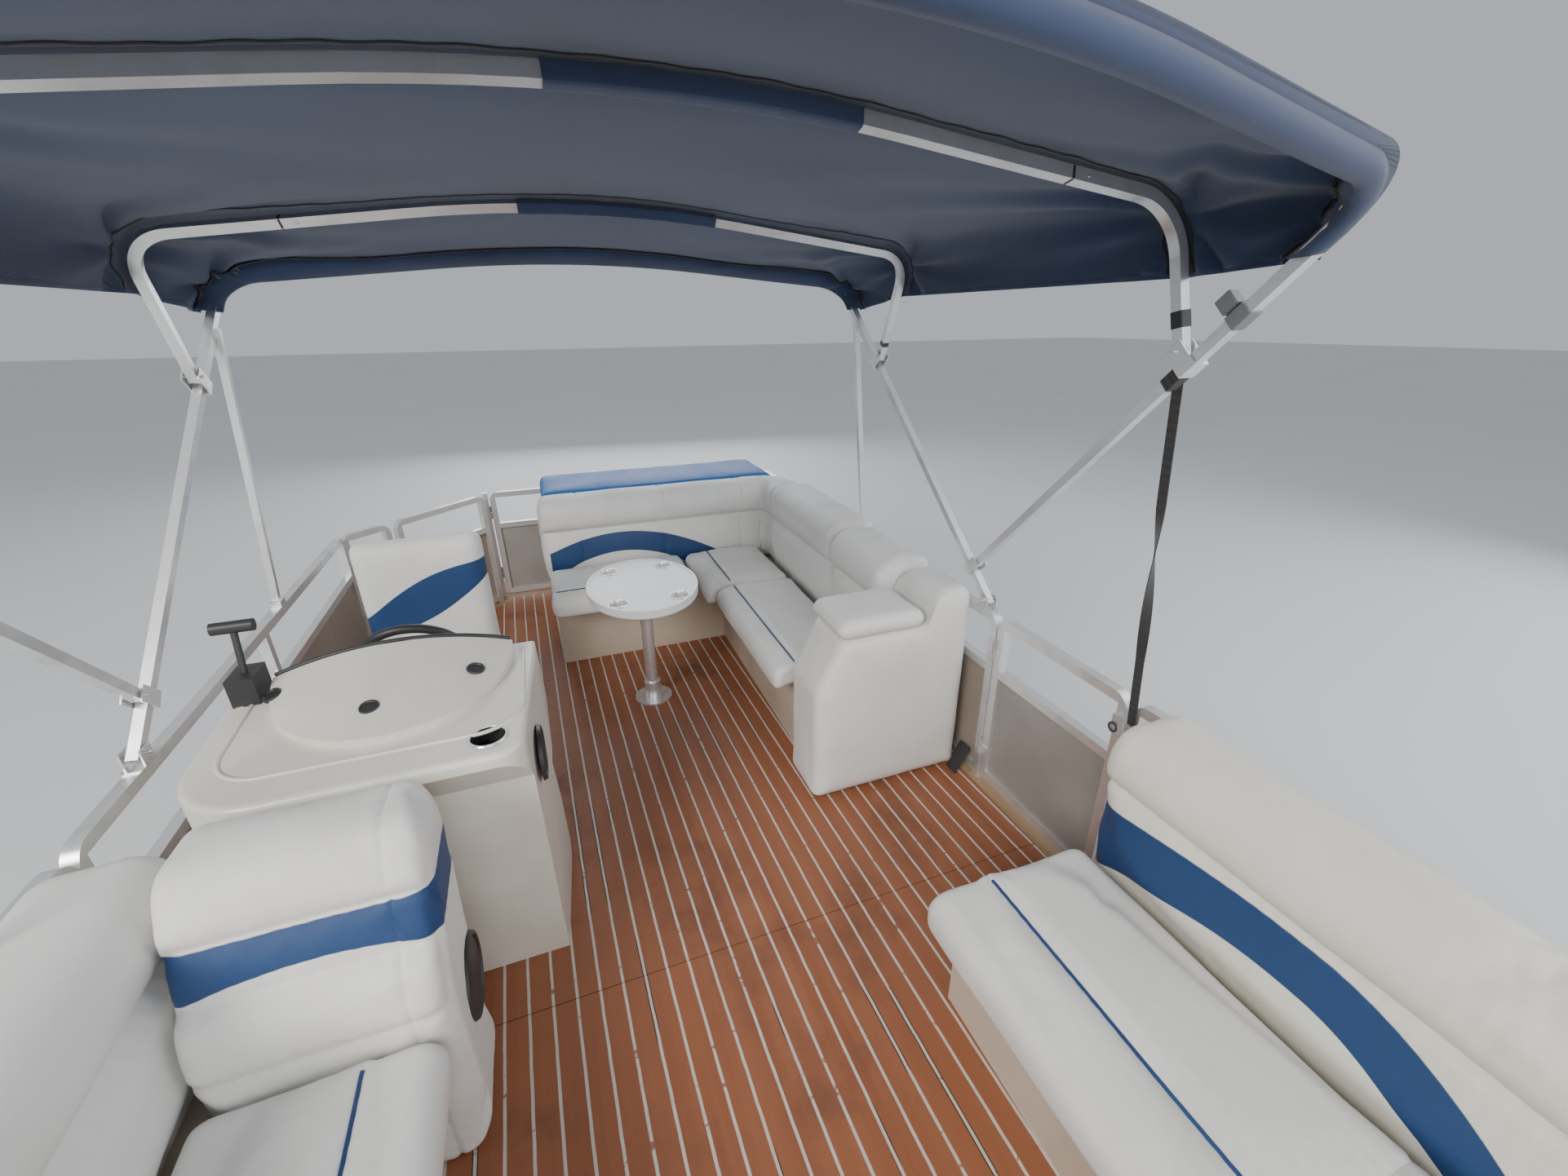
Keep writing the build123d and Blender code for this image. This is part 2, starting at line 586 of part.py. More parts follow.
def gate_frame(opening, side):
    """A gate in its own frame, with its skin, its hinge barrels and a latch block at the far end."""
    width = opening - 2 * GATE_CLEARANCE
    gate = Pos(GATE_CLEARANCE, 0, 0) * fence_frame(width, foot=GATE_FOOT, feet=False)
    pin_x, pin_y = hinge_axis_local(side)
    for height in HINGE_HEIGHTS:
        barrel = Pos(pin_x, pin_y, height) * Cylinder(HINGE_RADIUS, HINGE_LENGTH)
        leaf_y = side * (TUBE / 2 + HINGE_LEAF / 2)
        leaf = Pos((pin_x + GATE_CLEARANCE + TUBE) / 2, leaf_y, height) * Box(
            GATE_CLEARANCE + TUBE - pin_x, HINGE_LEAF, HINGE_LENGTH)
        gate += barrel + leaf
    latch_y = side * (TUBE + LATCH_SIZE[1]) / 2
    latch = Pos(opening - GATE_CLEARANCE - TUBE / 2, latch_y, FENCE_TOP - LATCH_DROP) * Box(*LATCH_SIZE)
    skin = Pos(GATE_CLEARANCE, 0, 0) * fence_skins(width, foot=GATE_FOOT)[0]
    return gate + latch + skin


def gate_hinges():
    """The halves of the hinges that stay on the posts, above and below each gate barrel."""
    pieces = []
    for _, x, station, heading, _, side in GATE_TABLE:
        pin_x, pin_y = hinge_axis_local(side)
        for height in HINGE_HEIGHTS:
            centre = height + HINGE_LENGTH + PANEL_GAP
            barrel = Pos(pin_x, pin_y, centre) * Cylinder(HINGE_RADIUS, HINGE_LENGTH)
            leaf_y = side * (TUBE / 2 + HINGE_LEAF / 2)
            leaf = Pos((pin_x - TUBE) / 2, leaf_y, centre) * Box(pin_x + TUBE, HINGE_LEAF, HINGE_LENGTH)
            pieces.append(place_panel(x, station, heading) * (barrel + leaf))
    return group(pieces)


FLOOR_EDGE = FENCE_HALF_WIDTH - 40.0
FLOOR_SEAMS = (2525.0, STERN_SEAT_FORWARD + 10.0)
SEAM_WIDTH = 3.0
FENCE_MARGIN = 30.0
RAIL_MARGIN = 8.0


def floor_sheets():
    """Teak-look sheets on the deck: three inside the fence, one on each end platform."""
    s0 = BOW_FENCE_STATION + FENCE_MARGIN
    end = STERN_FENCE_STATION - FENCE_MARGIN
    rail = EDGE_RAIL_WIDTH + RAIL_MARGIN
    slant = (FENCE_MARGIN + TUBE / 2) * sin(radians(45))
    jog = QUARTER_END[0] + 2 * FENCE_MARGIN
    start = FLOOR_SEAMS[1] + SEAM_WIDTH
    aft_sheet = make_face(Polyline(
        (-FLOOR_EDGE, start), (FLOOR_EDGE, start), (FLOOR_EDGE, end), (jog, end),
        (jog, QUARTER_END[1] - FENCE_MARGIN), (QUARTER_BREAK[0] + slant, QUARTER_BREAK[1] - slant),
        (-FLOOR_EDGE, STARBOARD_BEND - FENCE_MARGIN), close=True))
    platform_start = STARBOARD_BEND
    platform = Pos(0, (platform_start + DECK_LENGTH - rail) / 2) * Rectangle(
        2 * FLOOR_EDGE, DECK_LENGTH - rail - platform_start)
    platform -= offset(aft_sheet, 2 * FENCE_MARGIN + TUBE + PANEL_GAP, kind=Kind.INTERSECTION)
    pieces = [
        box_at(-FLOOR_EDGE, FLOOR_EDGE, rail, BOW_FENCE_STATION - FENCE_MARGIN, DECK_Z, FLOOR_Z),
        box_at(-FLOOR_EDGE, FLOOR_EDGE, s0, FLOOR_SEAMS[0], DECK_Z, FLOOR_Z),
        box_at(-FLOOR_EDGE, FLOOR_EDGE, FLOOR_SEAMS[0] + SEAM_WIDTH, FLOOR_SEAMS[1], DECK_Z, FLOOR_Z),
    ]
    for outline in (aft_sheet, platform):
        pieces += (Pos(0, 0, DECK_Z) * extrude(outline, FLOOR_THICKNESS)).solids()
    return group(pieces)


def lounge_base(side, inner, seat_aft, back_aft):
    """A bow lounge's moulded base: an open locker under the seat and a solid ledge under the back."""
    x_in = side * (inner + SEAT_OVERHANG)
    x_out = side * LOUNGE_OUTER
    body = on_floor(min(x_in, x_out), max(x_in, x_out), BOW_LOUNGE_FORWARD, seat_aft, 0, SEAT_BASE_TOP)
    if back_aft > seat_aft:
        ledge_in = side * LOUNGE_BACK_INNER
        body += on_floor(min(ledge_in, x_out), max(ledge_in, x_out), seat_aft, back_aft, 0, SEAT_BASE_TOP)
    lx0 = side * (inner + SEAT_OVERHANG + BASE_WALL)
    lx1 = side * (LOUNGE_BACK_INNER - LEDGE_WIDTH)
    locker = on_floor(min(lx0, lx1), max(lx0, lx1), BOW_LOUNGE_FORWARD + BASE_WALL, seat_aft - BASE_WALL,
                      BASE_WALL, SEAT_BASE_TOP + 1)
    return body - locker


def lounge_seat(side, inner, aft):
    """The seat cushion that lifts to open the locker."""
    x0 = side * inner
    x1 = side * (LOUNGE_BACK_INNER - CUSHION_GAP)
    return cushion(min(x0, x1), max(x0, x1), BOW_LOUNGE_FORWARD, aft, SEAT_BASE_TOP, SEAT_TOP)


def rolled_back(x0, x1, s0, s1, top, recess):
    """A back with a thick roll along its top and a thinner panel below, set back on its inner side."""
    roll = cushion(min(x0, x1), max(x0, x1), s0, s1, ROLL_LOW, top, ROLL_RADIUS)
    inner = x0 + recess
    panel = cushion(min(inner, x1), max(inner, x1), s0, s1, SEAT_BASE_TOP, ROLL_LOW + ROLL_RADIUS + ROLL_OVERLAP,
                    PANEL_RADIUS)
    return roll + panel


def lounge_back(side, aft):
    """The long rolled back along the fence."""
    return rolled_back(side * LOUNGE_BACK_INNER, side * LOUNGE_OUTER, BOW_LOUNGE_FORWARD, aft, BACK_TOP,
                       side * PANEL_RECESS)


def starboard_aft_back():
    """The back across the starboard lounge's aft end, leaning on the console, with its side panel."""
    front = STARBOARD_SEAT_AFT + CUSHION_GAP
    aft = STARBOARD_BACK_AFT
    profile = (
        # station, height above the floor: toe, seat line, the leaning face, the roll and the back of the panel
        (front, 0), (front, SEAT_TOP), (aft - END_BACK_ROLL[0], BACK_TOP - END_BACK_ROLL[1]),
        (aft - END_BACK_ROLL[0] - PANEL_RECESS, BACK_TOP - END_BACK_ROLL[1] + PANEL_RECESS),
        (aft - END_BACK_ROLL[0], BACK_TOP), (aft, BACK_TOP), (aft - END_BACK_FOOT, 0),
    )
    x0 = -LOUNGE_BACK_INNER + CUSHION_GAP
    face = Plane(origin=(x0, 0, FLOOR_Z), x_dir=(0, 1, 0), z_dir=(1, 0, 0)) * fillet(
        make_face(Polyline(*profile, close=True)).vertices().group_by(Axis.Y)[-1], END_BACK_RADIUS)
    back = extrude(face, -STARBOARD_LOUNGE_INNER - x0)
    return fillet(back.faces().sort_by(Axis.X)[-1].edges(), END_PANEL_RADIUS)


HELM_TOP_STATION = HELM_FACE_LOW[0] - (CONSOLE_TOP_AFT - HELM_FACE_LOW[1]) * tan(radians(WHEEL_TILT))


def console_top(station):
    """Height of the console's top, which rises gently from its front edge to the helm face."""
    share = (station - CONSOLE_FRONT) / (HELM_TOP_STATION - CONSOLE_FRONT)
    return CONSOLE_TOP_FRONT + share * (CONSOLE_TOP_AFT - CONSOLE_TOP_FRONT)


def console_plan():
    """The console's outline from above: square aft, round forward, and swept in on the aisle side."""
    sweep, sweep_length = CONSOLE_SWEEP
    aft = HELM_FACE_LOW[0] + 1
    plan = make_face(Polyline(
        (CONSOLE_OUTER, aft), (CONSOLE_OUTER, CONSOLE_FRONT), (CONSOLE_AISLE - sweep, CONSOLE_FRONT),
        (CONSOLE_AISLE, CONSOLE_FRONT + sweep_length), (CONSOLE_AISLE, aft), close=True))
    plan = fillet(plan.vertices().group_by(Axis.Y)[0].sort_by(Axis.X)[0], CONSOLE_CORNERS[0])
    return fillet(plan.vertices().group_by(Axis.Y)[0].sort_by(Axis.X)[-1], CONSOLE_CORNERS[1])


def console_body():
    """The helm console: a moulded box with a footwell open aft and a cup holder in its top."""
    outside = (
        # up the front with its flare, over the top, down the helm face, under the knee rail and back to the floor
        (CONSOLE_TOE, 0), (CONSOLE_TOE - 20, CONSOLE_TOP_FRONT - 135), (CONSOLE_FRONT, CONSOLE_TOP_FRONT - 35),
        (CONSOLE_FRONT, CONSOLE_TOP_FRONT), (HELM_TOP_STATION, CONSOLE_TOP_AFT), HELM_FACE_LOW,
        (HELM_FACE_LOW[0] - 10, HELM_FACE_LOW[1] - 60), KNEE_CORNER, (KNEE_TOE, 0),
    )
    body = side_profile(outside, CONSOLE_OUTER, CONSOLE_AISLE)
    body &= Pos(0, 0, FLOOR_Z) * extrude(console_plan(), CONSOLE_TOP_AFT + 1)
    body = fillet(body.faces().sort_by(Axis.Z)[-1].edges(), CONSOLE_EDGE)
    room_top = KNEE_CORNER[1] - CONSOLE_WALL
    footwell = (
        (CONSOLE_TOE + 30, CONSOLE_SILL), (CONSOLE_TOE + 20, room_top), (KNEE_CORNER[0] + 30, room_top),
        (KNEE_TOE + 40, CONSOLE_SILL),
    )
    room = side_profile(footwell, CONSOLE_OUTER + CONSOLE_WALL, CONSOLE_AISLE - CONSOLE_SWEEP[0] - CONSOLE_WALL)
    cup_top = console_top(CONSOLE_CUP[1])
    cup = Pos(CONSOLE_CUP[0], CONSOLE_CUP[1], FLOOR_Z + cup_top) * Cylinder(CUP_RADIUS, 2 * CUP_DEPTH)
    return body - room - cup


def console_cowl():
    """The raised D-shaped dash: a dome that is low at its round forward edge and high at its flat aft side."""
    oval = Pos(COWL_CENTRE_X, COWL_AFT_STATION) * Ellipse(COWL_HALF_WIDTH, COWL_LENGTH)
    forward_half = Pos(COWL_CENTRE_X, COWL_AFT_STATION - COWL_LENGTH / 2) * Rectangle(
        2 * COWL_HALF_WIDTH, COWL_LENGTH)
    plate = Pos(0, 0, FLOOR_Z + CONSOLE_TOP_FRONT) * extrude(oval & forward_half, COWL_AFT_TOP - CONSOLE_TOP_FRONT)
    front = COWL_AFT_STATION - COWL_LENGTH
    aft = COWL_AFT_STATION + 5
    wedge = side_profile(
        ((front, console_top(front)), (front, COWL_FRONT_TOP), (aft, COWL_AFT_TOP), (aft, console_top(aft))),
        CONSOLE_OUTER, CONSOLE_AISLE)
    slope = atan2(COWL_AFT_TOP - COWL_FRONT_TOP, COWL_LENGTH)
    dome = Pos(COWL_CENTRE_X, front, FLOOR_Z + COWL_FRONT_TOP) * Rot(degrees(slope), 0, 0) * Pos(
        0, COWL_LENGTH / 2, -COWL_DOME_RADIUS) * Rot(90, 0, 0) * Cylinder(COWL_DOME_RADIUS, 2 * COWL_LENGTH)
    return fillet((plate & wedge & dome).faces().sort_by(Axis.Z)[-1].edges(), COWL_EDGE)


def wheel_place():
    """The wheel's centre, with local Z along its shaft towards the driver."""
    x, s, z = WHEEL_CENTRE
    return Pos(x, s, FLOOR_Z + z) * Rot(-90 + WHEEL_TILT, 0, 0)


def steering_wheel():
    """A rim, a hub and three spokes, turned to face the driver."""
    ring = WHEEL_RADIUS - WHEEL_RIM
    wheel = Torus(ring, WHEEL_RIM) + Cylinder(HUB_RADIUS, HUB_LENGTH)
    for turn in SPOKE_TURNS:
        wheel += Rot(0, 0, turn) * Pos(ring / 2, 0, 0) * Box(ring, SPOKE_WIDTH, SPOKE_THICKNESS)
    return wheel_place() * wheel


def steering_column():
    """The boss on the helm face and the fixed sleeve up to the wheel's hub."""
    tilt = radians(WHEEL_TILT)
    run = (WHEEL_CENTRE[1] - HELM_FACE_LOW[0]) * cos(tilt) + (WHEEL_CENTRE[2] - HELM_FACE_LOW[1]) * sin(tilt)
    sleeve_length = run - HUB_LENGTH / 2 - 1
    sleeve = Pos(0, 0, sleeve_length / 2 - run) * Cylinder(COLUMN_RADIUS, sleeve_length)
    boss = Pos(0, 0, HUB_LENGTH / 2 - run) * Cylinder(COLUMN_BOSS_RADIUS, HUB_LENGTH)
    return wheel_place() * (sleeve + boss)


def throttle_control():
    """The side control box on the console with its lever."""
    fore = THROTTLE_STATION
    aft = THROTTLE_STATION + THROTTLE_LENGTH
    box = side_profile(((fore, console_top(fore)), (fore, THROTTLE_TOP), (aft, THROTTLE_TOP), (aft, console_top(aft))),
                       THROTTLE_X - THROTTLE_WIDTH / 2, THROTTLE_X + THROTTLE_WIDTH / 2)
    root = Pos(THROTTLE_X, (fore + aft) / 2, FLOOR_Z + THROTTLE_TOP) * Rot(-STALK_LEAN, 0, 0)
    stalk = root * Pos(0, 0, (STALK_LENGTH - GRIP_RADIUS) / 2) * Cylinder(STALK_RADIUS, STALK_LENGTH + GRIP_RADIUS)
    grip = root * Pos(0, 0, STALK_LENGTH) * Rot(0, 90, 0) * Cylinder(GRIP_RADIUS, GRIP_LENGTH)
    return box + stalk + grip


def chair_pedestal():
    """Floor plate and post under the captain's chair."""
    radius, thickness = PEDESTAL_PLATE
    plate = Pos(CHAIR_X, CHAIR_STATION, FLOOR_Z + thickness / 2) * Cylinder(radius, thickness)
    post = Pos(CHAIR_X, CHAIR_STATION, FLOOR_Z + PEDESTAL_HEIGHT / 2) * Cylinder(PEDESTAL_RADIUS, PEDESTAL_HEIGHT)
    return plate + post


def chair_frame():
    """Swivel plate, tray and back board: what turns on the post and carries the cushions."""
    radius, thickness = CHAIR_PLATE
    plate = Pos(CHAIR_X, CHAIR_STATION, FLOOR_Z + PEDESTAL_HEIGHT + thickness / 2) * Cylinder(radius, thickness)
    back_front = CHAIR_STATION + CHAIR_BACK_FRONT + CHAIR_BACK_THICKNESS
    tray = on_floor(CHAIR_X - CHAIR_BOARD_HALF, CHAIR_X + CHAIR_BOARD_HALF, CHAIR_STATION - CHAIR_TRAY_FRONT,
                    back_front, CHAIR_TRAY_LOW, CHAIR_TRAY_TOP)
    board = on_floor(CHAIR_X - CHAIR_BOARD_HALF, CHAIR_X + CHAIR_BOARD_HALF, back_front, back_front + CHAIR_BOARD,
                     CHAIR_TRAY_LOW, CHAIR_BACK_TOP - CHAIR_BOARD_DROP)
    return plate + tray + board


def chair_cushions():
    """Seat and back cushion of the chair."""
    half = CHAIR_WIDTH / 2
    seat = cushion(CHAIR_X - half, CHAIR_X + half, CHAIR_STATION - CHAIR_FRONT,
                   CHAIR_STATION + CHAIR_BACK_FRONT - CUSHION_GAP, CHAIR_TRAY_TOP, CHAIR_SEAT_TOP)
    back = cushion(CHAIR_X - half, CHAIR_X + half, CHAIR_STATION + CHAIR_BACK_FRONT,
                   CHAIR_STATION + CHAIR_BACK_FRONT + CHAIR_BACK_THICKNESS, CHAIR_TRAY_TOP, CHAIR_BACK_TOP,
                   CHAIR_ROLL_RADIUS)
    return seat, back


def table_top():
    """An oval moulded top with four cup holders."""
    x, s = TABLE_CENTRE
    top = Pos(x, s, FLOOR_Z + TABLE_TOP - TABLE_THICKNESS / 2) * extrude(
        Ellipse(TABLE_HALF_WIDTH, TABLE_HALF_LENGTH), TABLE_THICKNESS / 2, both=True)
    top = fillet(top.edges().group_by(Axis.Z)[0], TABLE_EDGE)
    rim, rim_height = TABLE_RIM
    top -= Pos(x, s, FLOOR_Z + TABLE_TOP - rim_height) * extrude(
        Ellipse(TABLE_HALF_WIDTH - rim, TABLE_HALF_LENGTH - rim), 2 * rim_height)
    for i in (-1, 1):
        for j in (-1, 1):
            top -= Pos(x + i * TABLE_CUP_OFFSET[0], s + j * TABLE_CUP_OFFSET[1], FLOOR_Z + TABLE_TOP) * Cylinder(
                TABLE_CUP_RADIUS, 2 * TABLE_CUP_DEPTH)
    return top


def table_leg():
    """Floor socket, collar, post and the plate under the top."""
    x, s = TABLE_CENTRE
    under = TABLE_TOP - TABLE_THICKNESS
    leg = Pos(x, s, FLOOR_Z + under / 2) * Cylinder(TABLE_POST_RADIUS, under)
    for (radius, height), low in ((TABLE_SOCKET, 0), (TABLE_COLLAR, 0), (TABLE_PLATE, under - TABLE_PLATE[1])):
        leg += Pos(x, s, FLOOR_Z + low + height / 2) * Cylinder(radius, height)
    return leg


def aft_lounge_base():
    """The moulded L base: lockers under the two straight seats, solid ledges under the backs."""
    face = AFT_SEAT_INNER + SEAT_OVERHANG
    end = STERN_SEAT_STARBOARD + BASE_END
    toe = STERN_SEAT_FORWARD + STERN_TOE
    port = on_floor(face, LOUNGE_OUTER, AFT_ARM_AFT, STERN_BACK_AFT, 0, SEAT_BASE_TOP)
    stern = on_floor(end, face, toe, STERN_BACK_AFT, 0, SEAT_BASE_TOP)
    port_locker = on_floor(face + BASE_WALL, AFT_BACK_INNER - LEDGE_WIDTH, AFT_ARM_AFT + BASE_WALL,
                           STERN_SEAT_FORWARD - CORNER_SEAT_LEAD + BASE_END, BASE_WALL, SEAT_BASE_TOP + 1)
    stern_room = on_floor(end + BASE_WALL, AFT_SEAT_INNER - BASE_END, toe + BASE_WALL,
                          STERN_BACK_FORWARD - LEDGE_WIDTH, BASE_WALL, SEAT_BASE_TOP + 1)
    return port + stern - port_locker - stern_room


def aft_arm():
    """The upholstered block at the forward end of the aft lounge, with a shoulder outboard and a pad on top."""
    shoulder, shoulder_top = AFT_ARM_SHOULDER
    knee_radius, edge_radius, shoulder_radius = AFT_ARM_CORNERS
    aft = AFT_ARM_AFT - CUSHION_GAP
    corners = (
        # X, height above the floor, radius
        (AFT_ARM_INNER, 0.0, 0.0), (AFT_ARM_INNER, AFT_ARM_KNEE, knee_radius),
        (AFT_ARM_INNER + AFT_ARM_LEAN, AFT_ARM_TOP, edge_radius),
        (LOUNGE_OUTER - shoulder - edge_radius, AFT_ARM_TOP, edge_radius),
        (LOUNGE_OUTER - shoulder, shoulder_top, shoulder_radius), (LOUNGE_OUTER, shoulder_top, shoulder_radius),
        (LOUNGE_OUTER, 0.0, 0.0),
    )
    outline = make_face(Polyline(*[(x, z) for x, z, _ in corners], close=True))
    for x, z, radius in corners:
        if radius:
            outline = fillet(outline.vertices().sort_by_distance((x, z, 0))[0], radius)
    block = Plane(origin=(0, aft, FLOOR_Z), x_dir=(1, 0, 0), z_dir=(0, -1, 0)) * extrude(outline, aft - AFT_ARM_FORWARD)
    block = fillet(block.faces().sort_by(Axis.Y)[0].edges(), AFT_ARM_EDGE)
    pad_in, pad_out, pad_height = AFT_ARM_PAD
    pad = cushion(AFT_ARM_INNER + pad_in, LOUNGE_OUTER - pad_out, AFT_ARM_FORWARD - PAD_PROUD / 2, aft - PAD_PROUD,
                  AFT_ARM_TOP - PAD_PROUD / 2, AFT_ARM_TOP + pad_height, CUSHION_RADIUS)
    return block + pad


def aft_seats():
    """Port seat, corner seat and stern seat."""
    corner_forward = STERN_SEAT_FORWARD - CORNER_SEAT_LEAD
    port = cushion(AFT_SEAT_INNER, AFT_BACK_INNER - CUSHION_GAP, AFT_ARM_AFT, corner_forward - CUSHION_GAP,
                   SEAT_BASE_TOP, SEAT_TOP)
    corner_inner = AFT_SEAT_INNER - CORNER_SEAT_REACH
    corner = cushion(corner_inner, AFT_BACK_INNER - CUSHION_GAP, corner_forward, STERN_BACK_FORWARD - CUSHION_GAP,
                     SEAT_BASE_TOP, SEAT_TOP)
    stern = cushion(STERN_SEAT_STARBOARD, corner_inner - CUSHION_GAP, STERN_SEAT_FORWARD,
                    STERN_BACK_FORWARD - CUSHION_GAP, SEAT_BASE_TOP, SEAT_TOP)
    return port, corner, stern


def aft_backs():
    """The rolled backs: two along the port side and one across the stern that turns the corner."""
    middle = AFT_ARM_AFT + PORT_BACK_LENGTH
    corner_start = STERN_BACK_FORWARD - CORNER_BACK_LENGTH
    forward_top, aft_top, stern_top = [BACK_TOP + rise for rise in AFT_BACK_RISES]
    forward = rolled_back(AFT_BACK_INNER, LOUNGE_OUTER, AFT_ARM_AFT, middle - CUSHION_GAP, forward_top,
                          PANEL_RECESS)
    aft = rolled_back(AFT_BACK_INNER, LOUNGE_OUTER, middle, corner_start, aft_top, PANEL_RECESS)
    start = corner_start + CUSHION_GAP
    inner = LOUNGE_OUTER - STERN_BACK_THICKNESS
    stern = stern_back(start, inner, 0.0, ROLL_LOW, stern_top, CORNER_ROLL_RADIUS)
    stern += stern_back(start, inner, PANEL_RECESS, SEAT_BASE_TOP, ROLL_LOW + ROLL_RADIUS + ROLL_OVERLAP,
                        PANEL_RADIUS)
    return group([forward, aft, stern])


def stern_back(start, inner, recess, low, high, radius):
    """One layer of the back that runs across the stern and turns the corner, set back on its inner side."""
    front = STERN_BACK_FORWARD + recess
    plan = make_face(Polyline(
        (STERN_SEAT_STARBOARD, STERN_BACK_AFT), (STERN_SEAT_STARBOARD, front), (inner + recess, front),
        (inner + recess, start), (LOUNGE_OUTER, start), (LOUNGE_OUTER, STERN_BACK_AFT), close=True))
    plan = fillet(plan.vertices().sort_by_distance((inner + recess, front, 0))[0], STERN_CORNER_RADII[0])
    plan = fillet(plan.vertices().sort_by_distance((LOUNGE_OUTER, STERN_BACK_AFT, 0))[0], STERN_CORNER_RADII[1])
    layer = Pos(0, 0, FLOOR_Z + low) * extrude(plan, high - low)
    return fillet(layer.edges(), radius)


def stern_locker():
    """The hollow box behind the stern seat that carries the sun pad."""
    high = BACK_TOP - PAD_THICKNESS
    end = STERN_SEAT_STARBOARD + BASE_END
    front = STERN_BACK_AFT + CUSHION_GAP
    body = on_floor(end, PAD_PORT, front, PAD_AFT, 0, high)
    room = on_floor(end + BASE_WALL, PAD_PORT - BASE_WALL, front + BASE_WALL, PAD_AFT - BASE_WALL, BASE_WALL,
                    high + 1)
    return body - room


def sun_pad():
    """The blue pad on the stern locker."""
    return cushion(STERN_SEAT_STARBOARD + BASE_END - PAD_PROUD, PAD_PORT + PAD_PROUD, STERN_BACK_AFT + CUSHION_GAP,
                   PAD_AFT, BACK_TOP - PAD_THICKNESS, BACK_TOP + PAD_PROUD, PAD_RADIUS)


def leg_point(start, angle, distance, reach=0.0):
    """A point along a bow's leg in the station and height plane, and then square off it towards +90."""
    a = radians(angle)
    return (start[0] + distance * cos(a) - reach * sin(a), start[1] + distance * sin(a) + reach * cos(a))


TOP_PIVOT = (TOP_MOUNT_STATION, DECK_Z + TOP_PIVOT_HEIGHT)
FOOT_PIN = leg_point(TOP_PIVOT, REAR_BOW_ANGLE, FOOT_PIN_AT)
LOWER_PIVOT = leg_point(TOP_PIVOT, REAR_BOW_ANGLE, LOWER_JAW_AT, JAW_REACH)
REAR_INNER_PIVOT = leg_point(TOP_PIVOT, REAR_BOW_ANGLE, REAR_JAW_AT, JAW_REACH)
FRONT_INNER_PIVOT = leg_point(LOWER_PIVOT, FRONT_BOW_ANGLE, FRONT_JAW_AT, -JAW_REACH)


def half_width_at(length, distance):
    """Half the width between a bow's legs, which lean in evenly up to their corners."""
    return LEG_BOTTOM_HALF + (LEG_TOP_HALF - LEG_BOTTOM_HALF) * distance / length


def bow_plane(start, angle):
    """The plane of a bow: X across the boat and Y up along its legs from the pivot."""
    a = radians(angle)
    return Plane(origin=(0, start[0], start[1]), x_dir=(1, 0, 0), z_dir=(0, -sin(a), cos(a)))


def cross_pin(place, half, radius, length):
    """A pin across the boat through each leg of a bow, centred half-widths from the middle."""
    return [Pos(side * half, *place) * Rot(0, 90, 0) * Cylinder(radius, length) for side in (-1, 1)]


def bow(start, angle, length, bottom_half, top_half, rise, first=-BOW_TUBE / 2):
    """One bow of square tube: two legs from a pivot, round corners and a gently arched crown."""
    path = FilletPolyline(
        (-bottom_half, first), (-top_half, length), (0, length + rise), (top_half, length),
        (bottom_half, first), radius=[BOW_CORNER_RADIUS, CROWN_RADIUS, BOW_CORNER_RADIUS])
    tube = bow_plane(start, angle) * extrude(trace(path, BOW_TUBE), BOW_TUBE / 2, both=True)
    for hole in cross_pin(start, bottom_half, PIN_RADIUS + PIN_CLEARANCE, 2 * BOW_TUBE):
        tube -= hole
    return tube


def jaw(start, angle, distance, half, reach):
    """Two cheeks that clasp a leg and reach out to the pin of the bow that it carries."""
    pin_length = BOW_TUBE + 2 * (JAW_GAP + JAW_PLATE + PIN_HEAD)
    pieces = cross_pin(leg_point(start, angle, distance, reach), half, PIN_RADIUS, pin_length)
    centre = leg_point(start, angle, distance, reach / 2)
    outside = leg_point(start, angle, distance, -BOW_TUBE / 2 * (1 if reach > 0 else -1))
    cheek_at = BOW_TUBE / 2 + JAW_GAP + JAW_PLATE / 2
    for side in (-1, 1):
        for cheek in (-1, 1):
            plate = Pos(side * half + cheek * cheek_at, *centre) * Rot(angle, 0, 0)
            pieces.append(plate * Box(JAW_PLATE, JAW_WIDTH, abs(reach) + BOW_TUBE + 2 * JAW_PLATE))
        band = Pos(side * half, *outside) * Rot(angle, 0, 0)
        pieces.append(band * Box(2 * cheek_at + JAW_PLATE, JAW_WIDTH, 2 * JAW_PLATE))
    return pieces


LOWER_JAW_HALF = half_width_at(REAR_BOW_LENGTH, LOWER_JAW_AT)
REAR_JAW_HALF = half_width_at(REAR_BOW_LENGTH, REAR_JAW_AT)
FRONT_JAW_HALF = LOWER_JAW_HALF + (LEG_TOP_HALF - LOWER_JAW_HALF) * FRONT_JAW_AT / FRONT_BOW_LENGTH

BOW_TABLE = {
    # node: pivot, angle, length, half-width at the pivot, half-width at the corners, crown's rise, first
    "top_rear_bow": (TOP_PIVOT, REAR_BOW_ANGLE, REAR_BOW_LENGTH, LEG_BOTTOM_HALF, LEG_TOP_HALF, REAR_CROWN, 14.0),
    "top_front_bow": (LOWER_PIVOT, FRONT_BOW_ANGLE, FRONT_BOW_LENGTH, LOWER_JAW_HALF, LEG_TOP_HALF, FRONT_CROWN,
                      -BOW_TUBE / 2),
    "top_inner_rear_bow": (REAR_INNER_PIVOT, INNER_REAR_ANGLE, INNER_REAR_LENGTH, REAR_JAW_HALF, INNER_TOP_HALF,
                           INNER_CROWN, -BOW_TUBE / 2),
    "top_inner_front_bow": (FRONT_INNER_PIVOT, INNER_FRONT_ANGLE, INNER_FRONT_LENGTH, FRONT_JAW_HALF,
                            INNER_TOP_HALF, INNER_CROWN, -BOW_TUBE / 2),
}

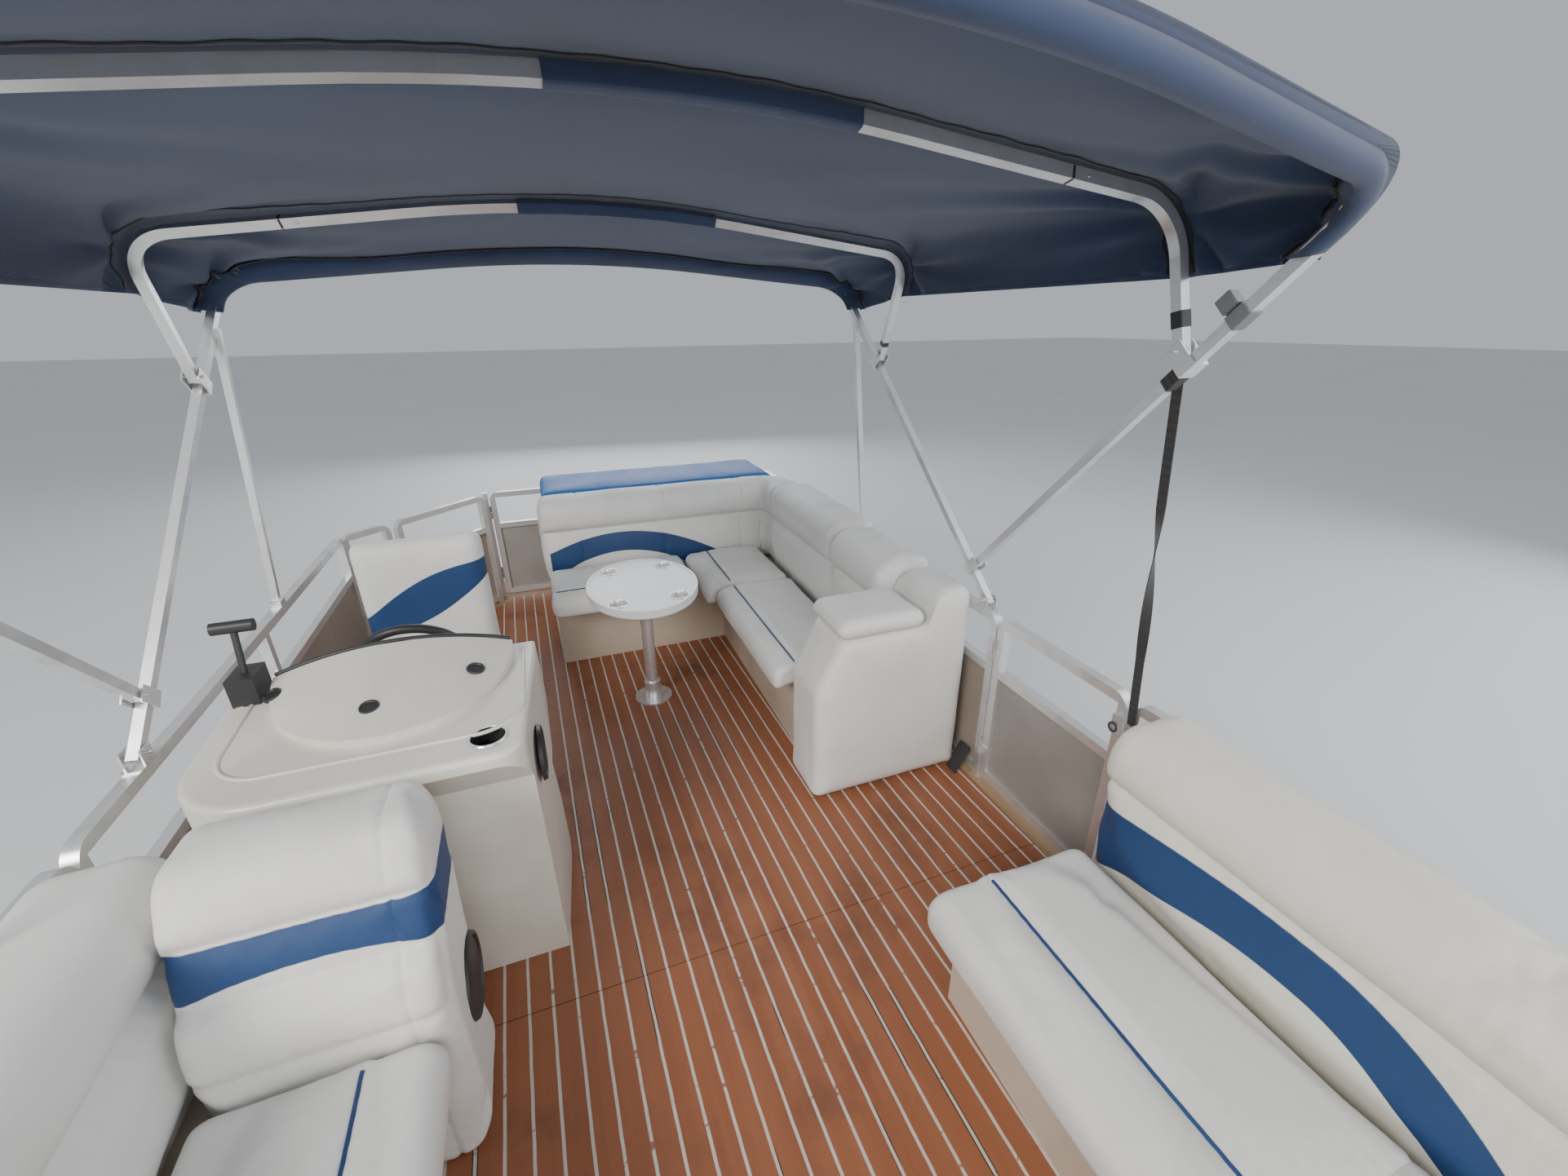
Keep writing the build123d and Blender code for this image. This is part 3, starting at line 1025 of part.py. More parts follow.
JAW_TABLE = (
    # node that carries the jaws, pivot and angle of its legs, distance along them, half-width, reach
    ("top_rear_bow", TOP_PIVOT, REAR_BOW_ANGLE, LOWER_JAW_AT, LOWER_JAW_HALF, JAW_REACH),
    ("top_rear_bow", TOP_PIVOT, REAR_BOW_ANGLE, REAR_JAW_AT, REAR_JAW_HALF, JAW_REACH),
    ("top_front_bow", LOWER_PIVOT, FRONT_BOW_ANGLE, FRONT_JAW_AT, FRONT_JAW_HALF, -JAW_REACH),
)


def folding_bows():
    """The four bows by name, each with the jaws that it carries."""
    bows = {name: bow(*row) for name, row in BOW_TABLE.items()}
    for hole in cross_pin(FOOT_PIN, half_width_at(REAR_BOW_LENGTH, FOOT_PIN_AT), PIN_RADIUS, 2 * BOW_TUBE):
        bows["top_rear_bow"] -= hole
    for name, *row in JAW_TABLE:
        for piece in jaw(*row):
            bows[name] += piece
    return bows


def top_mounts():
    """The brackets on the fence rail: two for the main bow's feet and two for the straps."""
    pieces = []
    rail = DECK_Z + FENCE_TOP
    mount_x, mount_s = MOUNT_HALF
    cheek_at, cheek_half, cheek_height = MOUNT_CHEEK
    clip_x, clip_s, clip_height = STRAP_CLIP
    for side in (-1, 1):
        x = side * FENCE_HALF_WIDTH
        base = box_at(x - mount_x, x + mount_x, FOOT_PIN[0] - mount_s, FOOT_PIN[0] + mount_s, rail,
                      rail + MOUNT_PLATE)
        for cheek in (-1, 1):
            middle = x + cheek * cheek_at
            base += box_at(middle - JAW_PLATE / 2, middle + JAW_PLATE / 2, FOOT_PIN[0] - cheek_half,
                           FOOT_PIN[0] + cheek_half, rail, FOOT_PIN[1] + cheek_height)
        foot_half = half_width_at(REAR_BOW_LENGTH, FOOT_PIN_AT)
        for pin in cross_pin(FOOT_PIN, foot_half, PIN_RADIUS, 2 * (cheek_at + JAW_PLATE + PIN_HEAD)):
            if pin.center().X * side > 0:
                base += pin
        pieces.append(base)
        inside = side * (FENCE_HALF_WIDTH - TUBE / 2)
        pieces.append(box_at(inside - side * clip_x, inside, STRAP_STATION - clip_s, STRAP_STATION + clip_s,
                             DECK_Z + STRAP_CLIP_HEIGHTS[side], DECK_Z + STRAP_CLIP_HEIGHTS[side] + clip_height))
    return pieces


def rear_braces(main_bow):
    """Struts from the fence rail up to the main bow, each notched where it meets the leg."""
    pieces = []
    top = leg_point(TOP_PIVOT, REAR_BOW_ANGLE, BRACE_AT)
    half = half_width_at(REAR_BOW_LENGTH, BRACE_AT) - BOW_TUBE / 2
    rail = DECK_Z + FENCE_TOP
    foot_x, foot_s, foot_height = BRACE_FOOT
    for side in (-1, 1):
        low = Vector(side * FENCE_HALF_WIDTH, BRACE_STATION, rail + foot_height + 2)
        run = Vector(side * half, top[0], top[1]) - low
        place = Plane(origin=low, x_dir=(0, 1, 0), z_dir=run)
        strut = place * Pos(0, 0, run.length / 2) * Box(BRACE_TUBE, BRACE_TUBE, run.length)
        foot = box_at(side * FENCE_HALF_WIDTH - foot_x, side * FENCE_HALF_WIDTH + foot_x, BRACE_STATION - foot_s,
                      BRACE_STATION + foot_s, rail, rail + foot_height)
        pieces.append(strut + foot - main_bow)
    return pieces


def canopy_rib(pivot, angle, length, bottom_half, top_half, rise, first):
    """A thin arch drawn round the outside of one bow, from valance to valance, level over its tube."""
    half_diagonal = BOW_TUBE * sin(radians(45))
    away = (half_diagonal + CANOPY_GAP + CANOPY_THICKNESS / 2) / sin(radians(angle))
    lean = (top_half - bottom_half) / (length - first)
    valance_half = top_half - CANOPY_DROP * lean + away
    path = FilletPolyline(
        (-valance_half, length - CANOPY_DROP), (-top_half - away, length + away), (0, length + rise + away),
        (top_half + away, length + away), (valance_half, length - CANOPY_DROP),
        radius=[BOW_CORNER_RADIUS + away, CROWN_RADIUS, BOW_CORNER_RADIUS + away])
    return bow_plane(pivot, angle) * trace(path, CANOPY_THICKNESS)


def canopy():
    """The cloth top as one thin arched shell stretched from bow to bow."""
    order = ("top_front_bow", "top_inner_front_bow", "top_inner_rear_bow", "top_rear_bow")
    return loft([canopy_rib(*BOW_TABLE[name]) for name in order], ruled=True)


def top_straps():
    """The two webbing straps that hold the front bow down to the rail, each looped round a leg."""
    pieces = []
    loop_s, loop_z = leg_point(LOWER_PIVOT, FRONT_BOW_ANGLE, STRAP_AT)
    below = BOW_TUBE / 2
    slope = (LOWER_JAW_HALF - LEG_TOP_HALF) / (FRONT_BOW_LENGTH + below)
    half = LOWER_JAW_HALF - slope * (STRAP_AT + below)
    outer = BOW_TUBE + 2 * STRAP_THICKNESS
    loop = Box(outer, STRAP_LOOP, outer) - Box(BOW_TUBE, 2 * STRAP_LOOP, BOW_TUBE)
    for side in (-1, 1):
        ring = bow_plane(LOWER_PIVOT, FRONT_BOW_ANGLE) * Pos(side * half, STRAP_AT, 0) * Rot(
            0, 0, side * degrees(atan2(slope, 1))) * loop
        clip_top = DECK_Z + STRAP_CLIP_HEIGHTS[side] + STRAP_CLIP[2]
        low = Vector(side * (FENCE_HALF_WIDTH - TUBE / 2 - STRAP_CLIP[0] / 2), STRAP_STATION, clip_top + 2)
        high = Vector(side * (half + BOW_TUBE / 2 + 1.5 * STRAP_THICKNESS), loop_s, loop_z)
        run = high - low
        place = Plane(origin=low, x_dir=(0, 1, 0), z_dir=run)
        band = place * Pos(0, 0, run.length / 2) * Box(STRAP_WIDTH, STRAP_THICKNESS, run.length)
        pieces.append(band + ring)
    return pieces


def motor_pod():
    """The welded pod under the stern with its transom board and the motor's two clamp plates."""
    top = CROSS_BOTTOM_Z - FLOOR_Z
    under = top - EDGE_RAIL_WALL - EDGE_GAP
    bottom = POD_BOTTOM - FLOOR_Z
    profile = (
        # the raked nose, the bottom, the transom, and the step under the edge rail
        (DECK_LENGTH - POD_LENGTH, top), (DECK_LENGTH - POD_SHOULDER[0], POD_SHOULDER[1] - FLOOR_Z),
        (DECK_LENGTH - POD_HEEL, bottom), (TRANSOM_STATION, bottom), (TRANSOM_STATION, under),
        (DECK_LENGTH - POD_END, under), (DECK_LENGTH - POD_END, top),
    )
    pod = side_profile(profile, -POD_HALF, POD_HALF)
    board_aft = TRANSOM_STATION + TRANSOM_THICKNESS
    pod += box_at(-POD_HALF, POD_HALF, TRANSOM_STATION, board_aft, POD_BOTTOM, DECK_Z - TRANSOM_DROP)
    behind, above, below = CLAMP_EDGE
    for side in (-1, 1):
        x = side * CLAMP_HALF
        pod += box_at(x - CLAMP_PLATE / 2, x + CLAMP_PLATE / 2, board_aft, TILT_STATION + behind, TILT_Z - below,
                      TILT_Z + above)
    return pod


def tilted(solid):
    """A piece drawn with the motor down and the tilt axis at the origin, swung up to its parked place."""
    return Pos(0, TILT_STATION, TILT_Z) * Rot(TILT_ANGLE, 0, 0) * solid


def swivel_bracket():
    """The bracket between the clamp plates: the tilt tube in front and the steering tube behind."""
    inside = CLAMP_HALF - CLAMP_PLATE / 2
    tube = Rot(0, 90, 0) * Cylinder(TILT_TUBE_RADIUS, 2 * inside)
    height = STEER_TUBE_HIGH - STEER_TUBE_LOW
    middle = (STEER_TUBE_HIGH + STEER_TUBE_LOW) / 2
    web = Pos(0, STEER_OFFSET / 2, middle) * Box(2 * SWIVEL_HALF, STEER_OFFSET, height)
    steer = Pos(0, STEER_OFFSET, middle) * Cylinder(STEER_EYE_RADIUS, height)
    return tilted(tube + web + steer)


def steer_arm(z0, z1):
    """A flat arm from the leg to a round eye on the steering axis."""
    eye = Pos(0, STEER_OFFSET, (z0 + z1) / 2) * Cylinder(STEER_EYE_RADIUS, z1 - z0)
    reach = STEER_TUBE_RADIUS + LEG_GAP + STEER_ARM_SINK
    bar = Pos(0, STEER_OFFSET + reach / 2, (z0 + z1) / 2) * Box(2 * STEER_TUBE_RADIUS, reach, z1 - z0)
    return eye + bar


LEG_SECTIONS = (
    # height, middle behind the tilt axis, half width, half length
    (COWL_LOW - TRAY_THICKNESS / 2, 250.0, 95.0, 105.0),
    (-40.0, 222.0, 62.0, 78.0),
    (-330.0, 215.0, 50.0, 72.0),
    (-PLATE_DROP, 215.0, 40.0, 95.0),
)
STRUT_SECTIONS = (
    (-PLATE_DROP, 165.0, 30.0, 95.0),
    (-PROP_DROP, 170.0, 26.0, 80.0),
)
SKEG_OUTLINE = (
    # distance behind the tilt axis, height from the propeller's shaft
    (110.0, -20.0), (235.0, -20.0), (262.0, -150.0), (196.0, -158.0),
)


def oval_loft(sections):
    """A body through oval sections set one above the other."""
    return loft([Pos(0, y, z) * Ellipse(half_x, half_y) for z, y, half_x, half_y in sections], ruled=True)


def motor_leg():
    """Tray, midsection, anti-ventilation plate, gear case and skeg of the motor."""
    arm_high = STEER_TUBE_HIGH + STEER_GAP
    arm_low = STEER_TUBE_LOW - STEER_GAP
    leg = oval_loft(LEG_SECTIONS) + oval_loft(STRUT_SECTIONS)
    leg += steer_arm(arm_high, arm_high + STEER_ARM) + steer_arm(arm_low - STEER_ARM, arm_low)
    tray_middle = (COWL_FRONT + COWL_AFT) / 2
    leg += Pos(0, tray_middle, COWL_LOW - TRAY_THICKNESS) * extrude(cowl_plan(0), TRAY_THICKNESS)
    leg += Pos(0, PLATE_MIDDLE, -PLATE_DROP) * extrude(Ellipse(*PLATE_HALF), PLATE_THICKNESS)
    nose = PROP_STATION - GEAR_NOSE
    shoulder = nose + GEAR_NOSE_RUN
    case_aft = PROP_STATION - 20
    profile = make_face(
        Spline((nose, 0), ((nose + shoulder) / 2, 0.88 * GEAR_RADIUS), (shoulder, GEAR_RADIUS),
               tangents=((0, 1), (1, 0)))
        + Polyline((shoulder, GEAR_RADIUS), (case_aft, GEAR_RADIUS - GEAR_TAPER), (case_aft, 0), (nose, 0)))
    case = Plane(origin=(0, 0, -PROP_DROP), x_dir=(0, 1, 0), z_dir=(1, 0, 0)) * profile
    leg += revolve(case, Axis((0, 0, -PROP_DROP), (0, 1, 0)))
    blade = Plane(origin=(-SKEG_THICKNESS / 2, 0, -PROP_DROP), x_dir=(0, 1, 0), z_dir=(1, 0, 0)) * make_face(
        Polyline(*SKEG_OUTLINE, close=True))
    leg += extrude(blade, SKEG_THICKNESS)
    return tilted(leg)


def cowl_plan(inset):
    """The cover's outline from above, round in front and behind, drawn about its own middle."""
    length = COWL_AFT - COWL_FRONT - 2 * inset
    width = 2 * (COWL_HALF - inset)
    return RectangleRounded(width, length, COWL_CORNER - inset)


def motor_cowl():
    """The hollow engine cover on its tray, lower and narrower towards its top."""
    middle = (COWL_FRONT + COWL_AFT) / 2
    height = COWL_HIGH - COWL_LOW
    outer = Pos(0, middle, COWL_LOW) * extrude(cowl_plan(0), height, taper=COWL_TAPER)
    outer = fillet(outer.faces().sort_by(Axis.Z)[-1].edges(), COWL_TOP_RADIUS)
    inner = Pos(0, middle, COWL_LOW - 1) * extrude(cowl_plan(COWL_WALL), height - COWL_ROOF, taper=COWL_TAPER + 2)
    return tilted(outer - inner)


def engine_block():
    """The powerhead inside the cover, as one plain block."""
    middle = (COWL_FRONT + COWL_AFT) / 2
    return tilted(Pos(0, middle, COWL_LOW + ENGINE_SIZE[2] / 2) * Box(*ENGINE_SIZE))


def propeller():
    """A hub with pitched blades."""
    prop = Rot(90, 0, 0) * Cylinder(PROP_HUB_RADIUS, PROP_HUB_LENGTH)
    reach = PROP_RADIUS - PROP_HUB_RADIUS + 10
    for i in range(PROP_BLADES):
        blade = extrude(Ellipse(BLADE_HALF, reach / 2), BLADE_THICKNESS / 2, both=True)
        prop += Rot(0, 360 * i / PROP_BLADES, 0) * Pos(0, 0, PROP_RADIUS - reach / 2) * Rot(0, 0, PROP_PITCH) * (
            Rot(90, 0, 0) * blade)
    return tilted(Pos(0, PROP_STATION + 30, -PROP_DROP) * prop)


def cleats():
    """Four mooring cleats on the deck's corners, outside the floor sheets."""
    pieces = []
    foot_x, foot_s, foot_height = CLEAT_FOOT
    bar_radius, bar_length, bar_height = CLEAT_BAR
    for x in (-FLOOR_EDGE - CLEAT_OUT, FLOOR_EDGE + CLEAT_OUT):
        for s in CLEAT_STATIONS:
            foot = box_at(x - foot_x, x + foot_x, s - foot_s, s + foot_s, DECK_Z, DECK_Z + foot_height)
            bar = Pos(x, s, DECK_Z + bar_height) * Rot(90, 0, 0) * Cylinder(bar_radius, bar_length)
            pieces.append(foot + bar)
    return group(pieces)


def gate_post():
    """The post that the stern gate hangs on, bracketed to the end of the quarter panel."""
    x = STERN_GATE_STARBOARD - TUBE / 2
    s = STERN_FENCE_STATION
    post = box_at(x - TUBE / 2, x + TUBE / 2, s - TUBE / 2, s + TUBE / 2, DECK_Z, DECK_Z + FENCE_TOP)
    for height in LINK_HEIGHTS:
        post += box_at(x - 22, x - 4, QUARTER_END[1] - LINK_REACH, s - TUBE / 2, DECK_Z + height - LINK_HALF,
                       DECK_Z + height + LINK_HALF)
    return post


def build():
    """Every node by name, at its station."""
    nodes = {
        "floats": group([float_tube(1), float_tube(-1)]),
        "cross_beams": cross_beams(),
        "deck_panel": deck_panel(),
        "edge_rails": edge_rails(),
        "floor_sheets": floor_sheets(),
    }
    frames = {}
    skins = []
    for name, x, station, heading, length in FENCE_TABLE:
        frame = place_panel(x, station, heading) * fence_frame(length)
        frames[name] = frames[name] + frame if name in frames else frame
        skins += [place_panel(x, station, heading) * skin for skin in fence_skins(length)]
    frames["fence_quarter"] += gate_post()
    nodes.update(frames)
    nodes["fence_skins"] = group(skins)
    for name, x, station, heading, opening, side in GATE_TABLE:
        nodes[name] = place_panel(x, station, heading) * gate_frame(opening, side)
    nodes["gate_hinges"] = gate_hinges()
    nodes["console"] = console_body()
    nodes["console_cowl"] = console_cowl()
    nodes["steering_wheel"] = steering_wheel()
    nodes["helm_fittings"] = group([steering_column(), throttle_control()])
    nodes["chair_pedestal"] = chair_pedestal()
    nodes["chair_frame"] = chair_frame()
    nodes["chair_cushions"] = group(chair_cushions())
    nodes["table_top"] = table_top()
    nodes["table_leg"] = table_leg()
    nodes["bow_bases"] = group([
        lounge_base(1, PORT_LOUNGE_INNER, PORT_LOUNGE_AFT, PORT_LOUNGE_AFT),
        lounge_base(-1, STARBOARD_LOUNGE_INNER, STARBOARD_SEAT_AFT, STARBOARD_BACK_AFT - 40)])
    nodes["bow_backs"] = group([
        lounge_back(1, PORT_LOUNGE_AFT), lounge_back(-1, STARBOARD_BACK_AFT), starboard_aft_back()])
    nodes["bow_port_seat"] = lounge_seat(1, PORT_LOUNGE_INNER, PORT_LOUNGE_AFT)
    nodes["bow_starboard_seat"] = lounge_seat(-1, STARBOARD_LOUNGE_INNER, STARBOARD_SEAT_AFT)
    nodes["aft_base"] = aft_lounge_base()
    nodes["aft_arm"] = aft_arm()
    nodes["aft_seat_port"], nodes["aft_seat_corner"], nodes["aft_seat_stern"] = aft_seats()
    nodes["aft_backs"] = aft_backs()
    nodes["stern_locker"] = stern_locker()
    nodes["sun_pad"] = sun_pad()
    nodes.update(folding_bows())
    nodes["top_mounts"] = group(top_mounts())
    nodes["top_braces"] = group(rear_braces(nodes["top_rear_bow"]))
    nodes["top_canopy"] = canopy()
    nodes["top_straps"] = group(top_straps())
    nodes["motor_pod"] = motor_pod()
    nodes["motor_swivel"] = swivel_bracket()
    nodes["motor_leg"] = motor_leg()
    nodes["motor_cowl"] = motor_cowl()
    nodes["motor_engine"] = engine_block()
    nodes["propeller"] = propeller()
    nodes["cleats"] = cleats()
    return nodes


def centre_shift(nodes):
    """How far aft the drawing lies from a frame centred on the whole boat."""
    low = min(node.bounding_box().min.Y for node in nodes.values())
    high = max(node.bounding_box().max.Y for node in nodes.values())
    return (low + high) / 2


NODES = build()
SHIFT = centre_shift(NODES)
os.makedirs("parts", exist_ok=True)
for node_name, node in NODES.items():
    export_step(Pos(0, -SHIFT, 0) * node, f"parts/{node_name}.step")
print("nodes", len(NODES), "shift", round(SHIFT, 3))
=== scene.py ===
# %% [markdown]
# A pontoon boat, dressed for its portrait
#
# The boat's hard parts arrive as finished solids: floats, deck, rails, bows, console and motor.
# This lesson gives them their finishes, and it makes what cloth, foam and thin trim need: the
# canvas top, the vinyl cushions, the ribbed fence sheets and the small fittings.
# Every shape below is a formula worked out on a grid of numbers, so each can be read and changed.

# %% Load the frame
import json
import math
import bmesh
import bpy
import numpy as np
from mathutils import Matrix, Vector
from mathutils.bvhtree import BVHTree


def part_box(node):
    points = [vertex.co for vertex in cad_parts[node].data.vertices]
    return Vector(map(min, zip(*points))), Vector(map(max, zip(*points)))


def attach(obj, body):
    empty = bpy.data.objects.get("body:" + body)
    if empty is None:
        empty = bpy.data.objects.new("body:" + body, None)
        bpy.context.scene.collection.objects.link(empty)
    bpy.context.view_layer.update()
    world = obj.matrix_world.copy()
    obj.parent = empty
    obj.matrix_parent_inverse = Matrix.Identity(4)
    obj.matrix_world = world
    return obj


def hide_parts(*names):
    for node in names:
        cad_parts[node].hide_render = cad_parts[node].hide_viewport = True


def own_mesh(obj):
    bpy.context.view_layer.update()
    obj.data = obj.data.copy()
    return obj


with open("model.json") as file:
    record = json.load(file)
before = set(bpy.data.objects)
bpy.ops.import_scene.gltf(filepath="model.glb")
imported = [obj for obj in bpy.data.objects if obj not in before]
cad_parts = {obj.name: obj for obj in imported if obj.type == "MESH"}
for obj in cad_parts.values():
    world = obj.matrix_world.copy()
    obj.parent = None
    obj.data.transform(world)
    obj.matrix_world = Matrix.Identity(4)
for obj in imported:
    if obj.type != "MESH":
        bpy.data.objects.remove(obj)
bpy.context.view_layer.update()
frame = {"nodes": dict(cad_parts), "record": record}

# %% [markdown]
# On the boat, places are named as a builder would: how far to port, how far aft of the deck's
# forward edge (its station), and how high above the floor. The frame's own boxes say where the
# deck starts and where the floor is.

# %% Places on the boat
EDGE_INSET = 0.005
START_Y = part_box("deck_panel")[0].y - EDGE_INSET
FLOOR_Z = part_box("floor_sheets")[1].z
PORT, STARBOARD = 1, -1


def at(x, station, height):
    """Points in the frame, from metres to port, metres aft of the deck's edge and metres above the floor."""
    x, station, height = np.broadcast_arrays(*(np.asarray(v, float) for v in (x, station, height)))
    return np.stack([x, station + START_Y, height + FLOOR_Z], axis=-1)


print("station 0 is at y", round(START_Y, 3), "and the floor at z", round(FLOOR_Z, 3))

# %% [markdown]
# The camera stands in the aisle between the forward lounges, at eye height, and looks aft, turned
# to port and tipped down. Its lens is that of a wide phone camera. The three world
# axes of the camera were solved from the rails and floor lines, so they are used as they are.

# %% Camera
PHOTO_WIDTH = 1922
FOCAL_PIXELS = 776.14
SENSOR = 36.0
CAMERA_PLACE = (-0.205, 1.25, 1.691)
CAMERA_AXES = {
    "right": (0.93571, -0.35267, -0.00859),
    "up": (0.14504, 0.36239, 0.92067),
    "forward": (0.32158, 0.86273, -0.39024),
}
camera_data = bpy.data.cameras.new("camera")
camera_data.sensor_width = SENSOR
camera_data.lens = SENSOR * FOCAL_PIXELS / PHOTO_WIDTH
camera_data.clip_start = 0.02
camera = bpy.data.objects.new("camera", camera_data)
backward = [-v for v in CAMERA_AXES["forward"]]
turn = Matrix((CAMERA_AXES["right"], CAMERA_AXES["up"], backward)).transposed().to_4x4()
camera.matrix_world = Matrix.Translation(Vector(at(*CAMERA_PLACE))) @ turn
bpy.context.scene.collection.objects.link(camera)
bpy.context.scene.camera = camera
print("lens", round(camera_data.lens, 2), "mm at", [round(v, 2) for v in camera.location])

# %% [markdown]
# A studio stands in for the open sky: one broad key light high over the starboard bow, a fill
# from port and a low one astern, so that the cushions under the canvas are lit from the sides.
# The boat floats, so the pale floor lies at its waterline.

# %% Light and floor
WATERLINE_Z = 0.27
STAGE_HALF = 60.0
BOAT_MIDDLE = (0.0, 0.0, 1.0)
SKY_COLOUR = (0.90, 0.94, 1.0, 1.0)
SKY_STRENGTH = 0.55
LIGHTS = (
    # name, place, size, watts, colour
    ("key", (-5.5, -6.0, 6.5), 3.5, 800.0, (1.0, 0.97, 0.92)),
    ("fill", (7.0, -2.0, 4.0), 6.0, 240.0, (0.93, 0.96, 1.0)),
    ("astern", (1.0, 9.0, 4.5), 6.0, 300.0, (0.95, 0.97, 1.0)),
    ("bow", (0.5, -6.5, 3.0), 4.0, 170.0, (1.0, 0.98, 0.95)),
)


def area_light(name, place, size, watts, colour):
    """A square lamp at a place, turned towards the middle of the boat."""
    data = bpy.data.lights.new(name, "AREA")
    data.size = size
    data.energy = watts
    data.color = colour
    lamp = bpy.data.objects.new(name, data)
    lamp.location = place
    lamp.rotation_euler = (Vector(BOAT_MIDDLE) - Vector(place)).to_track_quat("-Z", "Y").to_euler()
    bpy.context.scene.collection.objects.link(lamp)


for row in LIGHTS:
    area_light(*row)
world = bpy.data.worlds.new("studio")
world.use_nodes = True
sky = world.node_tree.nodes["Background"].inputs
sky["Color"].default_value = SKY_COLOUR
sky["Strength"].default_value = SKY_STRENGTH
bpy.context.scene.world = world
stage_mesh = bpy.data.meshes.new("studio_floor")
corners = [(x * STAGE_HALF, y * STAGE_HALF, WATERLINE_Z) for x, y in ((-1, -1), (1, -1), (1, 1), (-1, 1))]
stage_mesh.from_pydata(corners, [], [(0, 1, 2, 3)])
stage = bpy.data.objects.new("studio_floor", stage_mesh)
bpy.context.scene.collection.objects.link(stage)
print("floor at z", WATERLINE_Z, "with", len(LIGHTS), "lamps")

# %% [markdown]
# A finish is a small sum: a colour here, times a grain there, less some wear along the way. Blender
# writes such sums as boxes and wires. The class below lets us write them as sums instead: it holds
# one output of a node, and each sign between two of them adds the Math node that does it.
# Everything else, from noise to colour mixing, comes from its one method `node`.

# %% Sums of sockets
def sign(operation, swapped=False):
    """What a sign between two values does: one Math node on them, in their order or swapped."""
    return lambda a, b: a.maths(operation, *((b, a) if swapped else (a, b)))


class Wire:
    """One output of a material's node tree, which can be added, multiplied and compared like a number."""

    def __init__(self, tree, socket=None):
        self.tree = tree
        self.socket = socket

    def node(self, kind, settings=None, inputs=None, output=0):
        """Adds a node of a kind: its settings first, then the values or wires of its sockets."""
        made = self.tree.nodes.new("ShaderNode" + kind)
        for key, value in (settings or {}).items():
            if key == "stops":
                set_stops(made.color_ramp, value)
            else:
                setattr(made, key, value)
        for key, value in (inputs or {}).items():
            if isinstance(value, Wire):
                self.tree.links.new(value.socket, made.inputs[key])
            else:
                made.inputs[key].default_value = value
        return Wire(self.tree, made.outputs[output])

    def maths(self, operation, *values):
        """One Math node on up to three values."""
        return self.node("Math", {"operation": operation}, dict(enumerate(values)))

    __add__, __radd__ = sign("ADD"), sign("ADD", True)
    __sub__, __rsub__ = sign("SUBTRACT"), sign("SUBTRACT", True)
    __mul__, __rmul__ = sign("MULTIPLY"), sign("MULTIPLY", True)
    __truediv__ = sign("DIVIDE")

    def floor(self):
        """The whole number below the value."""
        return self.maths("FLOOR", self)

    def sine(self):
        """The sine of an angle in radians."""
        return self.maths("SINE", self)

    def size(self):
        """The value without its sign."""
        return self.maths("ABSOLUTE", self)

    def repeat(self, pitch):
        """Distance from the nearest of a row of lines, one every pitch."""
        return self.maths("PINGPONG", self, pitch / 2)

    def step(self, low, high):
        """0 below low, 1 above high and a soft rise between them; with low above high it falls instead."""
        kind = {"interpolation_type": "SMOOTHSTEP"}
        if low < high:
            return self.node("MapRange", kind, {"Value": self, "From Min": low, "From Max": high})
        return 1.0 - self.node("MapRange", kind, {"Value": self, "From Min": high, "From Max": low})


def set_stops(ramp, stops):
    """Gives a colour ramp its stops, each a place from 0 to 1 and a colour."""
    while len(ramp.elements) < len(stops):
        ramp.elements.new(1.0)
    for element, (place, colour) in zip(ramp.elements, stops):
        element.position = place
        element.color = (*colour, 1.0)


class Finish:
    """One material: its Principled shader, the object's coordinates, and shorthands for noise and colour."""

    def __init__(self, name, **sockets):
        self.material = bpy.data.materials.new(name)
        self.material.use_nodes = True
        self.tree = self.material.node_tree
        self.shader = self.tree.nodes["Principled BSDF"]
        self.start = Wire(self.tree)
        self.place = self.start.node("TexCoord", output="Object")
        split = {"Vector": self.place}
        self.x, self.y, self.z = (self.start.node("SeparateXYZ", {}, split, output=axis) for axis in "XYZ")
        self.set(**sockets)

    def set(self, **sockets):
        """Sets sockets of the shader to values, or links wires to them; a colour is three numbers."""
        for key, value in sockets.items():
            socket = self.shader.inputs[key.replace("_", " ")]
            if isinstance(value, Wire):
                self.tree.links.new(value.socket, socket)
            elif isinstance(value, tuple):
                socket.default_value = (*value, 1.0)
            else:
                socket.default_value = value

    def stretched(self, scale):
        """The object's coordinates, scaled differently along each axis."""
        return self.start.node("Mapping", {}, {"Vector": self.place, "Scale": scale})

    def noise(self, scale, detail=3.0, roughness=0.55, vector=None):
        """Soft noise from 0 to 1, with so many features in a metre."""
        sockets = {"Vector": vector or self.place, "Scale": scale, "Detail": detail, "Roughness": roughness}
        return self.start.node("TexNoise", {}, sockets)

    def mix(self, share, first, second):
        """A colour between two others."""
        values = {"Factor": share, 6: first, 7: second}
        values = {k: (*v, 1.0) if isinstance(v, tuple) else v for k, v in values.items()}
        return self.start.node("Mix", {"data_type": "RGBA"}, values, output=2)

    def bump(self, height, distance):
        """Turns a height into a normal; distance is the real depth in metres of a height of 1."""
        return self.start.node("Bump", {}, {"Height": height, "Distance": distance, "Strength": 1.0})


stage_finish = Finish("stage_paint", Base_Color=(0.78, 0.80, 0.81), Roughness=0.6)
stage_finish.set(Base_Color=stage_finish.mix(stage_finish.noise(0.4), (0.60, 0.62, 0.63), (0.66, 0.68, 0.69)))
stage.data.materials.append(stage_finish.material)
print("shader sums ready")

